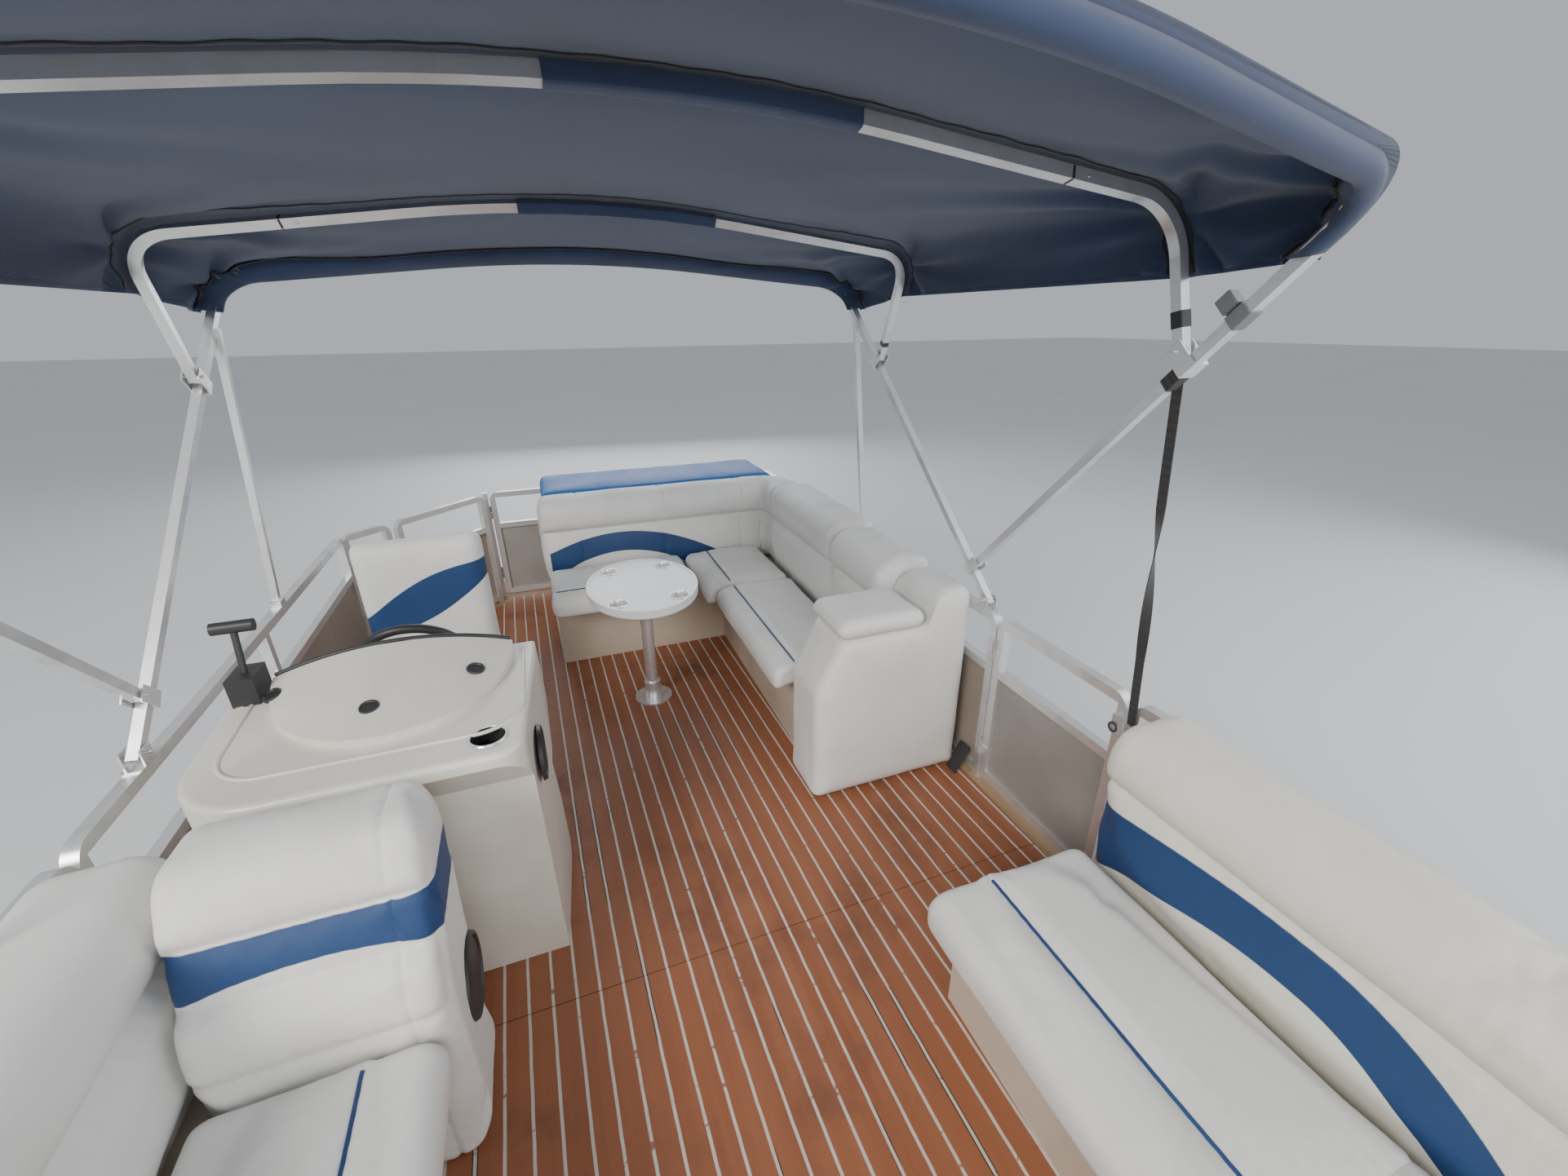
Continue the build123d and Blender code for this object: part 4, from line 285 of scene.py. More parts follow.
# %% [markdown]
# Aluminium is the boat's skeleton. The floats are bare sheet: dull, blotched with oxide, darker and
# stained in a band round the waterline. The fence and the canvas top's bows are satin tube, drawn
# through a die, and people's hands leave it a little grey.


# %% Aluminium
STAIN_ABOVE = 0.10
STAIN_BELOW = 0.03


def mill_aluminium():
    """Oxidised sheet: two sizes of blotch in colour and roughness, and a stained band at the waterline."""
    f = Finish("hull_aluminium", Metallic=0.85)
    blotch = f.noise(7.0, 5.0, 0.6)
    fine = f.noise(60.0, 3.0)
    drips = f.noise(5.0, 4.0, vector=f.stretched((1, 1, 0.2)))
    stain = f.z.step(WATERLINE_Z + STAIN_ABOVE, WATERLINE_Z - STAIN_BELOW) * drips
    metal = f.mix(blotch, (0.46, 0.48, 0.50), (0.68, 0.69, 0.70))
    f.set(Base_Color=f.mix(stain * 0.9, metal, (0.20, 0.19, 0.13)),
          Roughness=0.34 + blotch * 0.22 + stain * 0.3,
          Normal=f.bump(blotch * 0.5 + fine * 0.3, 0.0012))
    return f.material


def satin_tube(name, base, dark, roughness):
    """Drawn tube: faint dirt in soft patches, and a fine grain at the scale of a brush."""
    f = Finish(name, Metallic=0.75)
    patch = f.noise(9.0, 4.0).step(0.45, 0.75)
    grain = f.noise(420.0, 2.0)
    f.set(Base_Color=f.mix(patch * 0.6, base, dark), Roughness=roughness + grain * 0.12 + patch * 0.1,
          Normal=f.bump(grain, 0.00012))
    return f.material


hull_finish = mill_aluminium()
rail_finish = satin_tube("rail_aluminium", (0.78, 0.78, 0.79), (0.55, 0.55, 0.54), 0.26)
steel_finish = satin_tube("stainless", (0.72, 0.72, 0.72), (0.5, 0.5, 0.5), 0.14)
post_finish = satin_tube("table_metal", (0.80, 0.80, 0.81), (0.6, 0.6, 0.6), 0.2)
dull_finish = satin_tube("cast_metal", (0.30, 0.31, 0.32), (0.2, 0.2, 0.2), 0.45)
print("aluminium and steel ready")

# %% [markdown]
# The floor looks like teak from a step away, but it is printed sheet: orange-brown boards with pale
# lines between them, laid fore and aft. It has been walked on for years. So the boards differ a
# little from each other, the lines are worn through in places, there are dark cracks along some,
# and the middle of the aisle is greyer. A ping-pong of the distance across gives the lines.


# %% Floor and wood
STRIPE_PITCH = 0.061
STRIPE_HALF = 0.0035
STRIPE_TURN = 0.027


def teak_sheet():
    """Boards from the distance across, pale lines between them, cracks beside some, and worn patches."""
    f = Finish("teak_sheet")
    across = f.x + f.y * STRIPE_TURN
    waver = (f.noise(14.0, 2.0) - 0.5) * 0.003
    apart = (across + waver).repeat(STRIPE_PITCH)
    line = apart.step(STRIPE_HALF + 0.0012, STRIPE_HALF - 0.0008)
    board_number = (across / STRIPE_PITCH + 0.5).floor()
    board = f.start.node("TexWhiteNoise", {"noise_dimensions": "1D"}, {"W": board_number})
    grain = f.noise(30.0, 5.0, 0.65, f.stretched((1.0, 0.06, 1.0)))
    worn = f.noise(2.2, 5.0, 0.62).step(0.50, 0.72)
    chipped = f.noise(26.0, 4.0, 0.7, f.stretched((0.5, 1.0, 1.0))).step(0.60, 0.66)
    crack = f.noise(3.4, 2.0, vector=f.stretched((2.2, 0.5, 1.0))).step(0.60, 0.63)
    slit = (apart - STRIPE_HALF - 0.0015).size().step(0.0016, 0.0006) * crack
    wood = f.mix(grain, (0.215, 0.072, 0.032), (0.33, 0.122, 0.056))
    wood = f.mix(board * 0.30, wood, (0.38, 0.15, 0.075))
    wood = f.mix(worn * 0.6, wood, (0.115, 0.047, 0.028))
    wood = f.mix(f.noise(40.0, 3.0).step(0.62, 0.75) * 0.35, wood, (0.16, 0.08, 0.05))
    pale = f.mix(f.noise(18.0, 3.0), (0.46, 0.42, 0.37), (0.66, 0.63, 0.58))
    shown = line * (1.0 - chipped * 0.9)
    colour = f.mix(shown, wood, pale)
    f.set(Base_Color=f.mix(slit, colour, (0.03, 0.02, 0.015)),
          Roughness=0.42 + grain * 0.2 + worn * 0.12,
          Normal=f.bump(grain * 0.25 - slit * 1.0 - line * 0.35, 0.0012))
    return f.material


def plywood():
    """Grain in long streaks, and thin plies from the height."""
    f = Finish("deck_wood")
    streak = f.noise(24.0, 4.0, 0.6, f.stretched((1.0, 0.08, 1.0)))
    plies = (f.z * 900.0).sine() * 0.5 + 0.5
    f.set(Base_Color=f.mix(streak, (0.20, 0.12, 0.06), (0.42, 0.29, 0.17)), Roughness=0.75,
          Normal=f.bump(streak * 0.5 + plies * 0.2, 0.001))
    return f.material


teak_finish = teak_sheet()
wood_finish = plywood()
print("floor lines every", STRIPE_PITCH, "m")

# %% [markdown]
# Moulded plastics come next. Gelcoat is a hard, slightly yellowed shell with a wax gloss, where
# dirt gathers in small spots. The seat bases are a tan, grained plastic. Black plastic on the wheel
# and the speakers has gone grey in the sun. The fence sheets are taupe enamel on aluminium.


# %% Moulded plastics and paint
RIB_DEPTH = 0.0025


def moulded(name, light, dark, roughness, grain_scale, grain_depth, coat=0.0, ribs=0.0):
    """Clouds between two colours, specks of dirt and a moulded grain; ribs is the pitch of level ribs."""
    f = Finish(name, Coat_Weight=coat)
    f.set(Coat_Roughness=0.12)
    cloud = f.noise(3.0, 4.0).step(0.35, 0.7)
    specks = f.noise(55.0, 4.0, 0.7).step(0.64, 0.74)
    grain = f.noise(grain_scale, 2.0)
    f.set(Base_Color=f.mix(specks * 0.35, f.mix(cloud, light, dark), tuple(v * 0.6 for v in dark)),
          Roughness=roughness + cloud * 0.08 + specks * 0.1,
          Normal=f.bump(grain, grain_depth) if not ribs else f.bump(f.z.repeat(ribs) / ribs, RIB_DEPTH))
    return f.material


gelcoat_finish = moulded("gelcoat", (0.74, 0.72, 0.66), (0.66, 0.63, 0.56), 0.3, 90.0, 0.0002, 0.35)
base_finish = moulded("base_plastic", (0.55, 0.47, 0.38), (0.45, 0.38, 0.30), 0.5, 300.0, 0.0005)
black_finish = moulded("black_plastic", (0.022, 0.022, 0.024), (0.04, 0.04, 0.043), 0.42, 500.0, 0.0003)
panel_finish = moulded("panel_paint", (0.34, 0.285, 0.235), (0.29, 0.245, 0.205), 0.42, 200.0, 0.0002,
                       ribs=0.009)
# The table top's white leans to a faint cool blue: painted shade from the canvas above, over the table's own
# white.
table_white_shade_tinted_finish = moulded("table_white_shade_tinted", (0.76, 0.77, 0.78), (0.70, 0.71, 0.72), 0.22, 80.0, 0.0001, 0.4)
motor_finish = moulded("motor_paint", (0.016, 0.017, 0.020), (0.024, 0.025, 0.028), 0.24, 60.0, 0.0001, 0.6)
prop_finish = moulded("propeller_paint", (0.02, 0.02, 0.022), (0.045, 0.045, 0.045), 0.35, 120.0, 0.0002, 0.2)
print("plastics ready")

# %% [markdown]
# The upholstery is marine vinyl: soft, off-white, with a fine leather grain, a little dirt in broad
# clouds and a low sheen. Two-tone cushions have bands of blue vinyl let in. On the real ones the
# edge of a band is a sewn curve. Here each band is a formula of the place on the cushion, so its
# edge is exact at any distance.


# %% Vinyl
SOFT_EDGE = 0.0015
VINYL_WHITE = ((0.74, 0.735, 0.72), (0.66, 0.65, 0.62))
VINYL_CREAM = ((0.76, 0.735, 0.66), (0.70, 0.67, 0.59))
VINYL_BLUE = ((0.007, 0.038, 0.130), (0.011, 0.054, 0.170))


def vinyl(name, colours=VINYL_WHITE, band=None, gloss=0.0):
    """Leather grain and clouds of dirt; band is a function of the finish, 1 where the blue is let in."""
    f = Finish(name)
    cloud = f.noise(4.5, 4.0).step(0.4, 0.75)
    scuffs = f.noise(70.0, 4.0, 0.7, f.stretched((1.0, 0.5, 1.0))).step(0.66, 0.78)
    pores = f.start.node("TexVoronoi", {"feature": "DISTANCE_TO_EDGE"}, {"Vector": f.place, "Scale": 520.0})
    creases = f.noise(38.0, 3.0, 0.6)
    white = f.mix(cloud * 0.8, *colours)
    white = f.mix(scuffs * 0.25, white, tuple(v * 0.72 for v in colours[1]))
    colour = white
    edge = 0.0
    if band:
        share = band(f)
        colour = f.mix(share, white, f.mix(f.noise(3.0), *VINYL_BLUE))
        edge = (share - 0.5).size().step(0.5, 0.3) * 1.2
    f.set(Base_Color=colour, Roughness=0.46 - gloss + cloud * 0.08 + scuffs * 0.1,
          Normal=f.bump(pores * 0.9 + creases * 0.7 - edge, 0.0007))
    return f.material


def between(value, low, high):
    """1 where a value lies between two others, with a narrow soft edge."""
    above = (value - low).step(-SOFT_EDGE, SOFT_EDGE)
    below = (high - value).step(-SOFT_EDGE, SOFT_EDGE)
    return above * below


white_finish = vinyl("white_vinyl")
sun_pad_finish = vinyl("blue_vinyl", ((0.006, 0.120, 0.40), (0.010, 0.150, 0.46)), gloss=-0.02)
piping_finish = vinyl("blue_piping", VINYL_BLUE)
print("vinyl ready")

# %% [markdown]
# The top is navy acrylic canvas, woven so closely that it sheds water. From below, daylight comes
# through it a little, which greys the blue. A fine weave is two sets of waves across each other.
# Webbing and zips are black tape with a coarser weave.


# %% Canvas and webbing
def woven(name, light, dark, threads, depth):
    """Warp and weft as two sine waves over the cloth, with slow fading between two colours."""
    f = Finish(name)
    f.set(Sheen_Weight=0.25, Sheen_Roughness=0.5)
    fade = f.noise(1.6, 4.0).step(0.3, 0.75)
    turns = 2 * math.pi * threads
    weave = (f.x * turns).sine() * (f.y * turns + f.z * turns).sine()
    dust = f.noise(35.0, 4.0, 0.7).step(0.58, 0.8)
    colour = f.mix(fade, light, dark)
    f.set(Base_Color=f.mix(dust * 0.2, colour, tuple(v * 2.0 + 0.01 for v in light)),
          Roughness=0.85, Normal=f.bump(weave * 0.5 + dust * 0.4, depth))
    return f.material


canvas_finish = woven("canvas", (0.030, 0.052, 0.125), (0.019, 0.034, 0.085), 900.0, 0.0002)
webbing_finish = woven("webbing", (0.018, 0.018, 0.020), (0.010, 0.010, 0.011), 400.0, 0.0006)
brass_finish = satin_tube("brass", (0.62, 0.44, 0.20), (0.38, 0.26, 0.12), 0.25)
print("canvas and webbing ready")

# %% [markdown]
# Each finished solid names the kind of surface it has, so one small table dresses them all.

# %% Dress the solids
FINISH_OF_SLOT = {
    "hull_aluminium": hull_finish, "rail_aluminium": rail_finish, "panel_paint": panel_finish,
    "deck_wood": wood_finish, "teak_sheet": teak_finish, "gelcoat": gelcoat_finish,
    "base_plastic": base_finish, "white_vinyl": white_finish, "blue_vinyl": sun_pad_finish,
    "canvas": canvas_finish, "webbing": webbing_finish, "stainless": steel_finish,
    "table_metal": post_finish, "black_plastic": black_finish, "motor_paint": motor_finish,
    "engine_metal": dull_finish, "propeller_metal": prop_finish,
}
for part in frame["record"]["subparts"]:
    solid = frame["nodes"][part["node"]]
    solid.data.materials.clear()
    solid.data.materials.append(FINISH_OF_SLOT[part["material_slot"]])
# The table top takes the white with the painted cool shade in it, in place of its gelcoat.
frame["nodes"]["table_top"].data.materials[0] = table_white_shade_tinted_finish

# %% [markdown]
# New pieces are grids of points. A profile carried along a path makes a tube, a roll or a trim; a
# profile turned round an axis makes a knob, a cup or a speaker. Both return points and faces, so
# several can be joined into one piece before it becomes a mesh.


# %% Grids, paths and turned shapes
def grid(points, wrap=False):
    """Points (rows, columns, 3) with a face between each four neighbours; wrap closes the columns round."""
    rows, columns = points.shape[:2]
    i = np.arange(rows - 1)[:, None]
    j = np.arange(columns if wrap else columns - 1)[None, :]
    k = (j + 1) % columns
    corners = (i * columns + j, i * columns + k, (i + 1) * columns + k, (i + 1) * columns + j)
    return points.reshape(-1, 3), np.stack(corners, axis=-1).reshape(-1, 4)


def unit(vectors):
    """Vectors at length 1."""
    return vectors / np.maximum(np.linalg.norm(vectors, axis=-1, keepdims=True), 1e-12)


def reach_of(path):
    """Distance along a path to each of its points."""
    return np.concatenate([[0.0], np.cumsum(np.linalg.norm(np.diff(path, axis=0), axis=1))])


def circle(radius, sides=12):
    """A closed ring of points (across, up) round 0."""
    turn = np.linspace(0, 2 * np.pi, sides, endpoint=False)
    return radius * np.stack([np.cos(turn), np.sin(turn)], axis=-1)


def outline(corners, step=0.016, closed=True):
    """A profile through corners (across, up, radius): straight runs joined by arcs, points a step apart.

    An arc of radius r in a corner of half angle h starts r / tan(h) from the corner, and its centre lies
    r / sin(h) from it.
    """
    corners = np.array(corners, float)
    spot, radius = corners[:, :2], corners[:, 2]
    before = unit(np.roll(spot, 1, axis=0) - spot)
    after = unit(np.roll(spot, -1, axis=0) - spot)
    half = np.arccos(np.clip((before * after).sum(-1), -0.9999, 0.9999)) / 2
    start = spot + before * (radius / np.tan(half))[:, None]
    end = spot + after * (radius / np.tan(half))[:, None]
    centre = spot + unit(before + after) * (radius / np.sin(half))[:, None]
    pieces = []
    for n, r in enumerate(radius):
        share = np.linspace(0, 1, max(2, int(round(r * (np.pi - 2 * half[n]) / step)) + 1))[:, None]
        chord = start[n] + (end[n] - start[n]) * share
        pieces.append(centre[n] + unit(chord - centre[n]) * r if r > 0 else spot[n][None])
        if closed or n + 1 < len(spot):
            away = start[(n + 1) % len(spot)]
            count = int(round(np.linalg.norm(away - end[n]) / step))
            pieces.append(end[n] + (away - end[n]) * np.linspace(0, 1, count + 1)[1:-1, None])
    return np.concatenate(pieces)


def square(width, height, radius, step):
    """A four-sided profile round 0 with rounded corners."""
    w, h = width / 2, height / 2
    return outline([(-w, -h, radius), (w, -h, radius), (w, h, radius), (-w, h, radius)], step)


def carry(path, profile, square_to=(0, 0, 1), scale=None, closed=False, twist=0.0):
    """A profile (across, up) carried along a path (n, 3): across lies square to the path and to square_to.

    Each row of the grid is path + across * side + up * top, after both are turned by the row's twist; an
    open tube's ends close on their middles.
    """
    path = np.asarray(path, float)
    run = np.roll(path, -1, axis=0) - np.roll(path, 1, axis=0) if closed else np.gradient(path, axis=0)
    run = unit(run)
    side = unit(np.cross(run, np.asarray(square_to, float)))
    top = np.cross(side, run)
    turn = (np.zeros(len(path)) + twist)[:, None]
    side, top = side * np.cos(turn) + top * np.sin(turn), top * np.cos(turn) - side * np.sin(turn)
    size = np.ones(len(path)) if scale is None else np.asarray(scale, float)
    flat = profile[None] * size[:, None, None]
    points = path[:, None] + flat[..., :1] * side[:, None] + flat[..., 1:] * top[:, None]
    if closed:
        return grid(np.concatenate([points, points[:1]]), wrap=True)
    ends = [np.repeat(points[n].mean(0)[None, None], points.shape[1], axis=1) for n in (0, -1)]
    return grid(np.concatenate([ends[0], points, ends[1]]), wrap=True)


def turned(profile, centre, axis=(0, 0, 1), sides=24):
    """A profile of (radius, distance along the axis) turned once round an axis through a centre."""
    axis = unit(np.asarray(axis, float))
    side = unit(np.cross(axis, (0.0, 0.0, 1.0) if abs(axis[2]) < 0.9 else (1.0, 0.0, 0.0)))
    top = np.cross(axis, side)
    profile = np.asarray(profile, float)
    ring = circle(1.0, sides)
    round_part = ring[:, :1] * side + ring[:, 1:] * top
    points = np.asarray(centre) + profile[:, None, :1] * round_part[None] + profile[:, None, 1:] * axis
    return grid(points, wrap=True)


def many(surface, places):
    """The same small surface at many places."""
    points, faces = surface
    places = np.atleast_2d(places)
    moved = points[None] + places[:, None]
    numbered = faces[None] + (np.arange(len(places)) * len(points))[:, None, None]
    return moved.reshape(-1, 3), numbered.reshape(-1, faces.shape[1])


def piece(name, surfaces, finish, body="hull", stands_for=(), sharp=40.0):
    """One object of the boat: its grids joined, doubled points merged, faces turned outwards."""
    starts = np.cumsum([0] + [len(points) for points, _ in surfaces])
    points = np.concatenate([points for points, _ in surfaces])
    faces = np.concatenate([faces + start for (_, faces), start in zip(surfaces, starts)])
    mesh = bpy.data.meshes.new(name)
    mesh.from_pydata(points.tolist(), [], faces.tolist())
    work = bmesh.new()
    work.from_mesh(mesh)
    bmesh.ops.remove_doubles(work, verts=work.verts, dist=2e-5)
    bmesh.ops.recalc_face_normals(work, faces=work.faces)
    work.to_mesh(mesh)
    work.free()
    mesh.shade_smooth()
    mesh.set_sharp_from_angle(angle=math.radians(sharp))
    mesh.materials.append(finish)
    made = bpy.data.objects.new(name, mesh)
    bpy.context.scene.collection.objects.link(made)
    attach(made, body)
    if stands_for:
        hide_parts(*stands_for)
    return made


print("shape helpers ready")

# %% [markdown]
# A cushion begins as its sewn cover: a profile carried along a path, with rounded ends. Then it is
# stuffed. Blender's cloth blows the cover up a little, while the seams are held where they are sewn,
# so each panel crowns between its seams and pulls small folds beside them. The swelling is capped,
# because foam is firmer than air. All covers are blown up together, in twenty frames.

# %% Covers and stuffing
STEP = 0.017
PADS = []
PRESSURE = 4.0
LAST_FRAME = 20
VALLEY = 0.007
VALLEY_DEPTH = 0.005


def cover(section, path, stops=(), end_radius=0.03):
    """A sewn cover: a section carried along a path, with round ends and a valley at each stop along it.

    At a turn a of an end the section has moved R (1 - cos a) along and drawn in by R (1 - sin a).
    """
    path = np.asarray(path, float)
    reach = reach_of(path)
    stops = np.asarray(stops, float).reshape(-1)
    even = np.linspace(end_radius, reach[-1] - end_radius, max(3, int(reach[-1] / STEP)))[1:-1]
    if stops.size:
        even = even[np.abs(even[:, None] - stops).min(1) > 1.5 * VALLEY]
    body = np.sort(np.concatenate([even, stops - VALLEY, stops, stops + VALLEY]))
    low, high = section.min(0), section.max(0)
    middle, half = (low + high) / 2, (high - low) / 2
    turn = np.linspace(0, np.pi / 2, 5)
    flat = np.arange(1, max(2, int((half.max() - end_radius) / STEP / 1.4)))
    flat = flat / (flat[-1] + 1)
    back, drawn = end_radius * (1 - np.cos(turn)), end_radius * (1 - np.sin(turn))
    spots = np.concatenate([0 * flat, back, body, reach[-1] - back[::-1], reach[-1] + 0 * flat])
    inset = np.concatenate([end_radius + 0 * flat, drawn, VALLEY_DEPTH * np.isin(body, stops), drawn[::-1],
                            end_radius + 0 * flat])
    share = np.concatenate([flat, 1 + 0 * back, 1 + 0 * body, 1 + 0 * back, flat[::-1]])
    size = share[:, None] * (1 - inset[:, None] / half)
    shape = middle + (section - middle) * size[:, None]
    runs = unit(np.gradient(path, reach, axis=0))
    tracks = (path, runs)
    centres, runs = (np.stack([np.interp(spots, reach, v[:, k]) for k in range(3)], axis=1) for v in tracks)
    across = unit(np.cross(runs, (0.0, 0.0, 1.0)))
    top = np.cross(across, runs)
    points = centres[:, None] + shape[..., :1] * across[:, None] + shape[..., 1:] * top[:, None]
    ends = [np.repeat(points[n].mean(0)[None, None], points.shape[1], axis=1) for n in (0, -1)]
    return grid(np.concatenate([ends[0], points, ends[1]]), wrap=True)


def line(start, end, step=STEP):
    """Points a step apart from one place to another."""
    start, end = np.asarray(start, float), np.asarray(end, float)
    count = max(2, int(round(np.linalg.norm(end - start) / step)) + 1)
    return start + (end - start) * np.linspace(0, 1, count)[:, None]


def along_boat(forward, aft, section, stops=(), end_radius=0.03):
    """A cover whose section (metres to port, height) runs aft, with valleys at some stations."""
    stops = np.asarray(stops, float) - forward
    return cover(section, line(at(0, forward, 0), at(0, aft, 0)), stops, end_radius)


def across_boat(starboard, port, section, stops=(), end_radius=0.03):
    """A cover whose section (station, height) runs to port, with valleys at some widths."""
    stops = np.asarray(stops, float) - starboard
    return cover(section * (-1, 1), line(at(starboard, 0, 0), at(port, 0, 0)), stops, end_radius)


def seam(across, up, along=(-1, 0)):
    """Three corners that make a sewn valley in a profile, which runs anticlockwise through it."""
    a, u = along
    return [(across - a * VALLEY, up - u * VALLEY, 0), (across - u * VALLEY_DEPTH, up + a * VALLEY_DEPTH, 0),
            (across + a * VALLEY, up + u * VALLEY, 0)]


def mirrored(section):
    """A profile on the starboard side instead."""
    return section * (-1, 1)


def pad(name, surface, finish, stands_for, body="hull", swell=0.012, seams=()):
    """A cushion to be stuffed; each seam is a function of x, station and height: the distance from it."""
    made = piece(name, [surface], finish, body, stands_for)
    PADS.append((made, swell, seams))
    return made


def co_of(mesh):
    """A mesh's points as an array."""
    flat = np.empty(len(mesh.vertices) * 3, np.float32)
    mesh.vertices.foreach_get("co", flat)
    return flat.reshape(-1, 3).astype(float)


def normals_of(mesh):
    """The directions that a mesh's points face."""
    flat = np.empty(len(mesh.vertices) * 3, np.float32)
    mesh.vertices.foreach_get("normal", flat)
    return flat.reshape(-1, 3).astype(float)


def seam_distance(points, seams):
    """Distance of each point from its nearest seam."""
    x, station, height = points[:, 0], points[:, 1] - START_Y, points[:, 2] - FLOOR_Z
    nearest = np.full(len(points), 1.0)
    for seam in seams:
        nearest = np.minimum(nearest, np.abs(seam(x, station, height)))
    return nearest


def groove_x(at_x, at_z):
    """Distance from a seam that runs fore and aft."""
    return lambda x, s, z: np.hypot(x - at_x, z - at_z)


def groove_s(at_s, at_z):
    """Distance from a seam that runs across the boat."""
    return lambda x, s, z: np.hypot(s - at_s, z - at_z)


def add_cloth(made, seams):
    """Cloth with air in it, held along the seams."""
    held = made.vertex_groups.new(name="sewn")
    near = seam_distance(co_of(made.data), seams) < STEP * 0.6
    held.add(np.nonzero(near)[0].tolist(), 1.0, "REPLACE")
    cloth = made.modifiers.new("stuffing", "CLOTH")
    cloth.settings.quality = 4
    cloth.settings.mass = 0.25
    cloth.settings.tension_stiffness = cloth.settings.compression_stiffness = 12.0
    cloth.settings.shear_stiffness = 6.0
    cloth.settings.bending_stiffness = 0.4
    cloth.settings.use_pressure = True
    cloth.settings.uniform_pressure_force = PRESSURE
    cloth.settings.vertex_group_mass = "sewn"
    cloth.settings.effector_weights.gravity = 0.0
    cloth.point_cache.frame_start = 1
    cloth.point_cache.frame_end = LAST_FRAME
    cloth.collision_settings.use_collision = False
    cloth.collision_settings.use_self_collision = False


def swelled(made, reach):
    """The cover's points after the last frame, none of them further than reach from where they began."""
    scene = bpy.context.evaluated_depsgraph_get()
    blown = co_of(made.evaluated_get(scene).data)
    start = co_of(made.data)
    move = blown - start
    length = np.linalg.norm(move, axis=1, keepdims=True)
    return start + move * np.minimum(1.0, reach / np.maximum(length, 1e-9)) * (length < 0.5)


def stuff_all():
    """Blows up every cover, takes the cloth off again, halves the grid and presses the seams in."""
    scene = bpy.context.scene
    for made, _, seams in PADS:
        add_cloth(made, seams)
    scene.frame_start, scene.frame_end = 1, LAST_FRAME
    for number in range(1, LAST_FRAME + 1):
        scene.frame_set(number)
    shapes = [swelled(made, swell) for made, swell, _ in PADS]
    for (made, _, _), points in zip(PADS, shapes):
        made.modifiers.clear()
        made.data.vertices.foreach_set("co", points.astype(np.float32).ravel())
    scene.frame_set(1)
    for made, _, seams in PADS:
        finish_pad(made, seams)


def finish_pad(made, seams):
    """Halves the grid, then adds the small folds that run up to the seams.

    A point moves by 1.1 mm * sine waves * exp(-d / 60 mm), d its distance from a seam, and by a slow 1.2 mm.
    """
    finer = made.modifiers.new("finer", "SUBSURF")
    finer.levels = finer.render_levels = 1
    scene = bpy.context.evaluated_depsgraph_get()
    mesh = bpy.data.meshes.new_from_object(made.evaluated_get(scene))
    made.modifiers.clear()
    made.data = mesh
    points, out = co_of(mesh), normals_of(mesh)
    near = seam_distance(points, seams)
    wave = np.sin(points @ (61.0, 83.0, 71.0)) * np.sin(points @ (143.0, -97.0, 52.0))
    slow = np.sin(points @ (9.0, 13.0, 11.0) + 1.0) * np.sin(points @ (17.0, -7.0, 15.0))
    move = 0.0011 * wave * np.exp(-near / 0.06) + 0.0012 * slow
    points += out * move[:, None]
    mesh.vertices.foreach_set("co", points.astype(np.float32).ravel())
    mesh.update()


def laid(made, places, direction, lift=0.0):
    """Places dropped on a piece's skin along a direction; one that misses keeps its place."""
    tree = BVHTree.FromPolygons(co_of(made.data).tolist(), [tuple(f.vertices) for f in made.data.polygons])
    direction = Vector(direction).normalized()
    hits = [tree.ray_cast(Vector(p) - direction * 0.5, direction)[0] or Vector(p) for p in places]
    return np.array(hits) - np.array(direction) * lift


print("cushion helpers ready")

# %% [markdown]
# The forward lounges face each other across the aisle. Each seat has a rounded bolster at the aisle,
# divided off by a line of dark piping. Each back has a thick roll on top and a thinner panel under
# it, so the roll is drawn as its own bulge above a valley.

# %% Blue bands
def bow_of(f, along, top, low):
    """A band bent like a bow: each edge is a height less a fall times the distance along, squared."""
    height = f.z - FLOOR_Z
    squared = along * along
    return between(height, low[0] - squared * low[1], top[0] - squared * top[1])


def lounge_band(f):
    """Broad at its aft end, rising towards the roll at station 1.65 and falling faster towards the bow."""
    along = f.y - START_Y - 1.65
    ahead = along.step(0.02, -0.02)
    return bow_of(f, along, (0.618, ahead * 1.0 + 0.20), (0.515, ahead * 1.3 + 0.62))


def arched_band(f):
    """A band right across, whose lower edge is an arch: 30 mm higher in the middle."""
    off = (f.x + 0.745) / 0.205
    return between(f.z - FLOOR_Z, 0.598 + 0.030 * (1.0 - off * off), 0.689)


def lens_band(f):
    """A flat arch on the stern back, from its starboard end to the seat's corner."""
    front = (f.y - START_Y).step(4.86, 4.84) * (f.x + 0.262).step(-0.002, 0.002)
    return bow_of(f, f.x - 0.12, (0.598, 0.56), (0.492, 0.90)) * front


def swoosh_band(f):
    """A stroke that rises from the outboard side to the aisle side, thick in its middle."""
    along = (f.x + 0.97) / 0.48
    middle = 0.575 + 0.21 * along
    half = 0.034 + 0.050 * (along * math.pi).sine()
    return between(f.z - FLOOR_Z, middle - half, middle + half)


cream_band_finish = vinyl("cream_vinyl_banded", VINYL_CREAM, lounge_band)
arched_finish = vinyl("white_vinyl_arched", band=arched_band)
lens_finish = vinyl("white_vinyl_lens", band=lens_band)
swoosh_finish = vinyl("white_vinyl_swoosh", band=swoosh_band)
print("bands ready")

# %% Forward lounges
PORT_SEAM_X = 0.655
STARBOARD_SEAM_X = -0.68
SEAT_LOW, SEAT_BACK_TOP, SEAT_SEAM_TOP, SEAT_FRONT_TOP = 0.337, 0.437, 0.441, 0.449


def block(left, right, low, high, low_radius, high_radius):
    """A plain rounded section between two widths and two heights."""
    return outline([(left, low, low_radius), (right, low, low_radius), (right, high, high_radius),
                    (left, high, high_radius)])


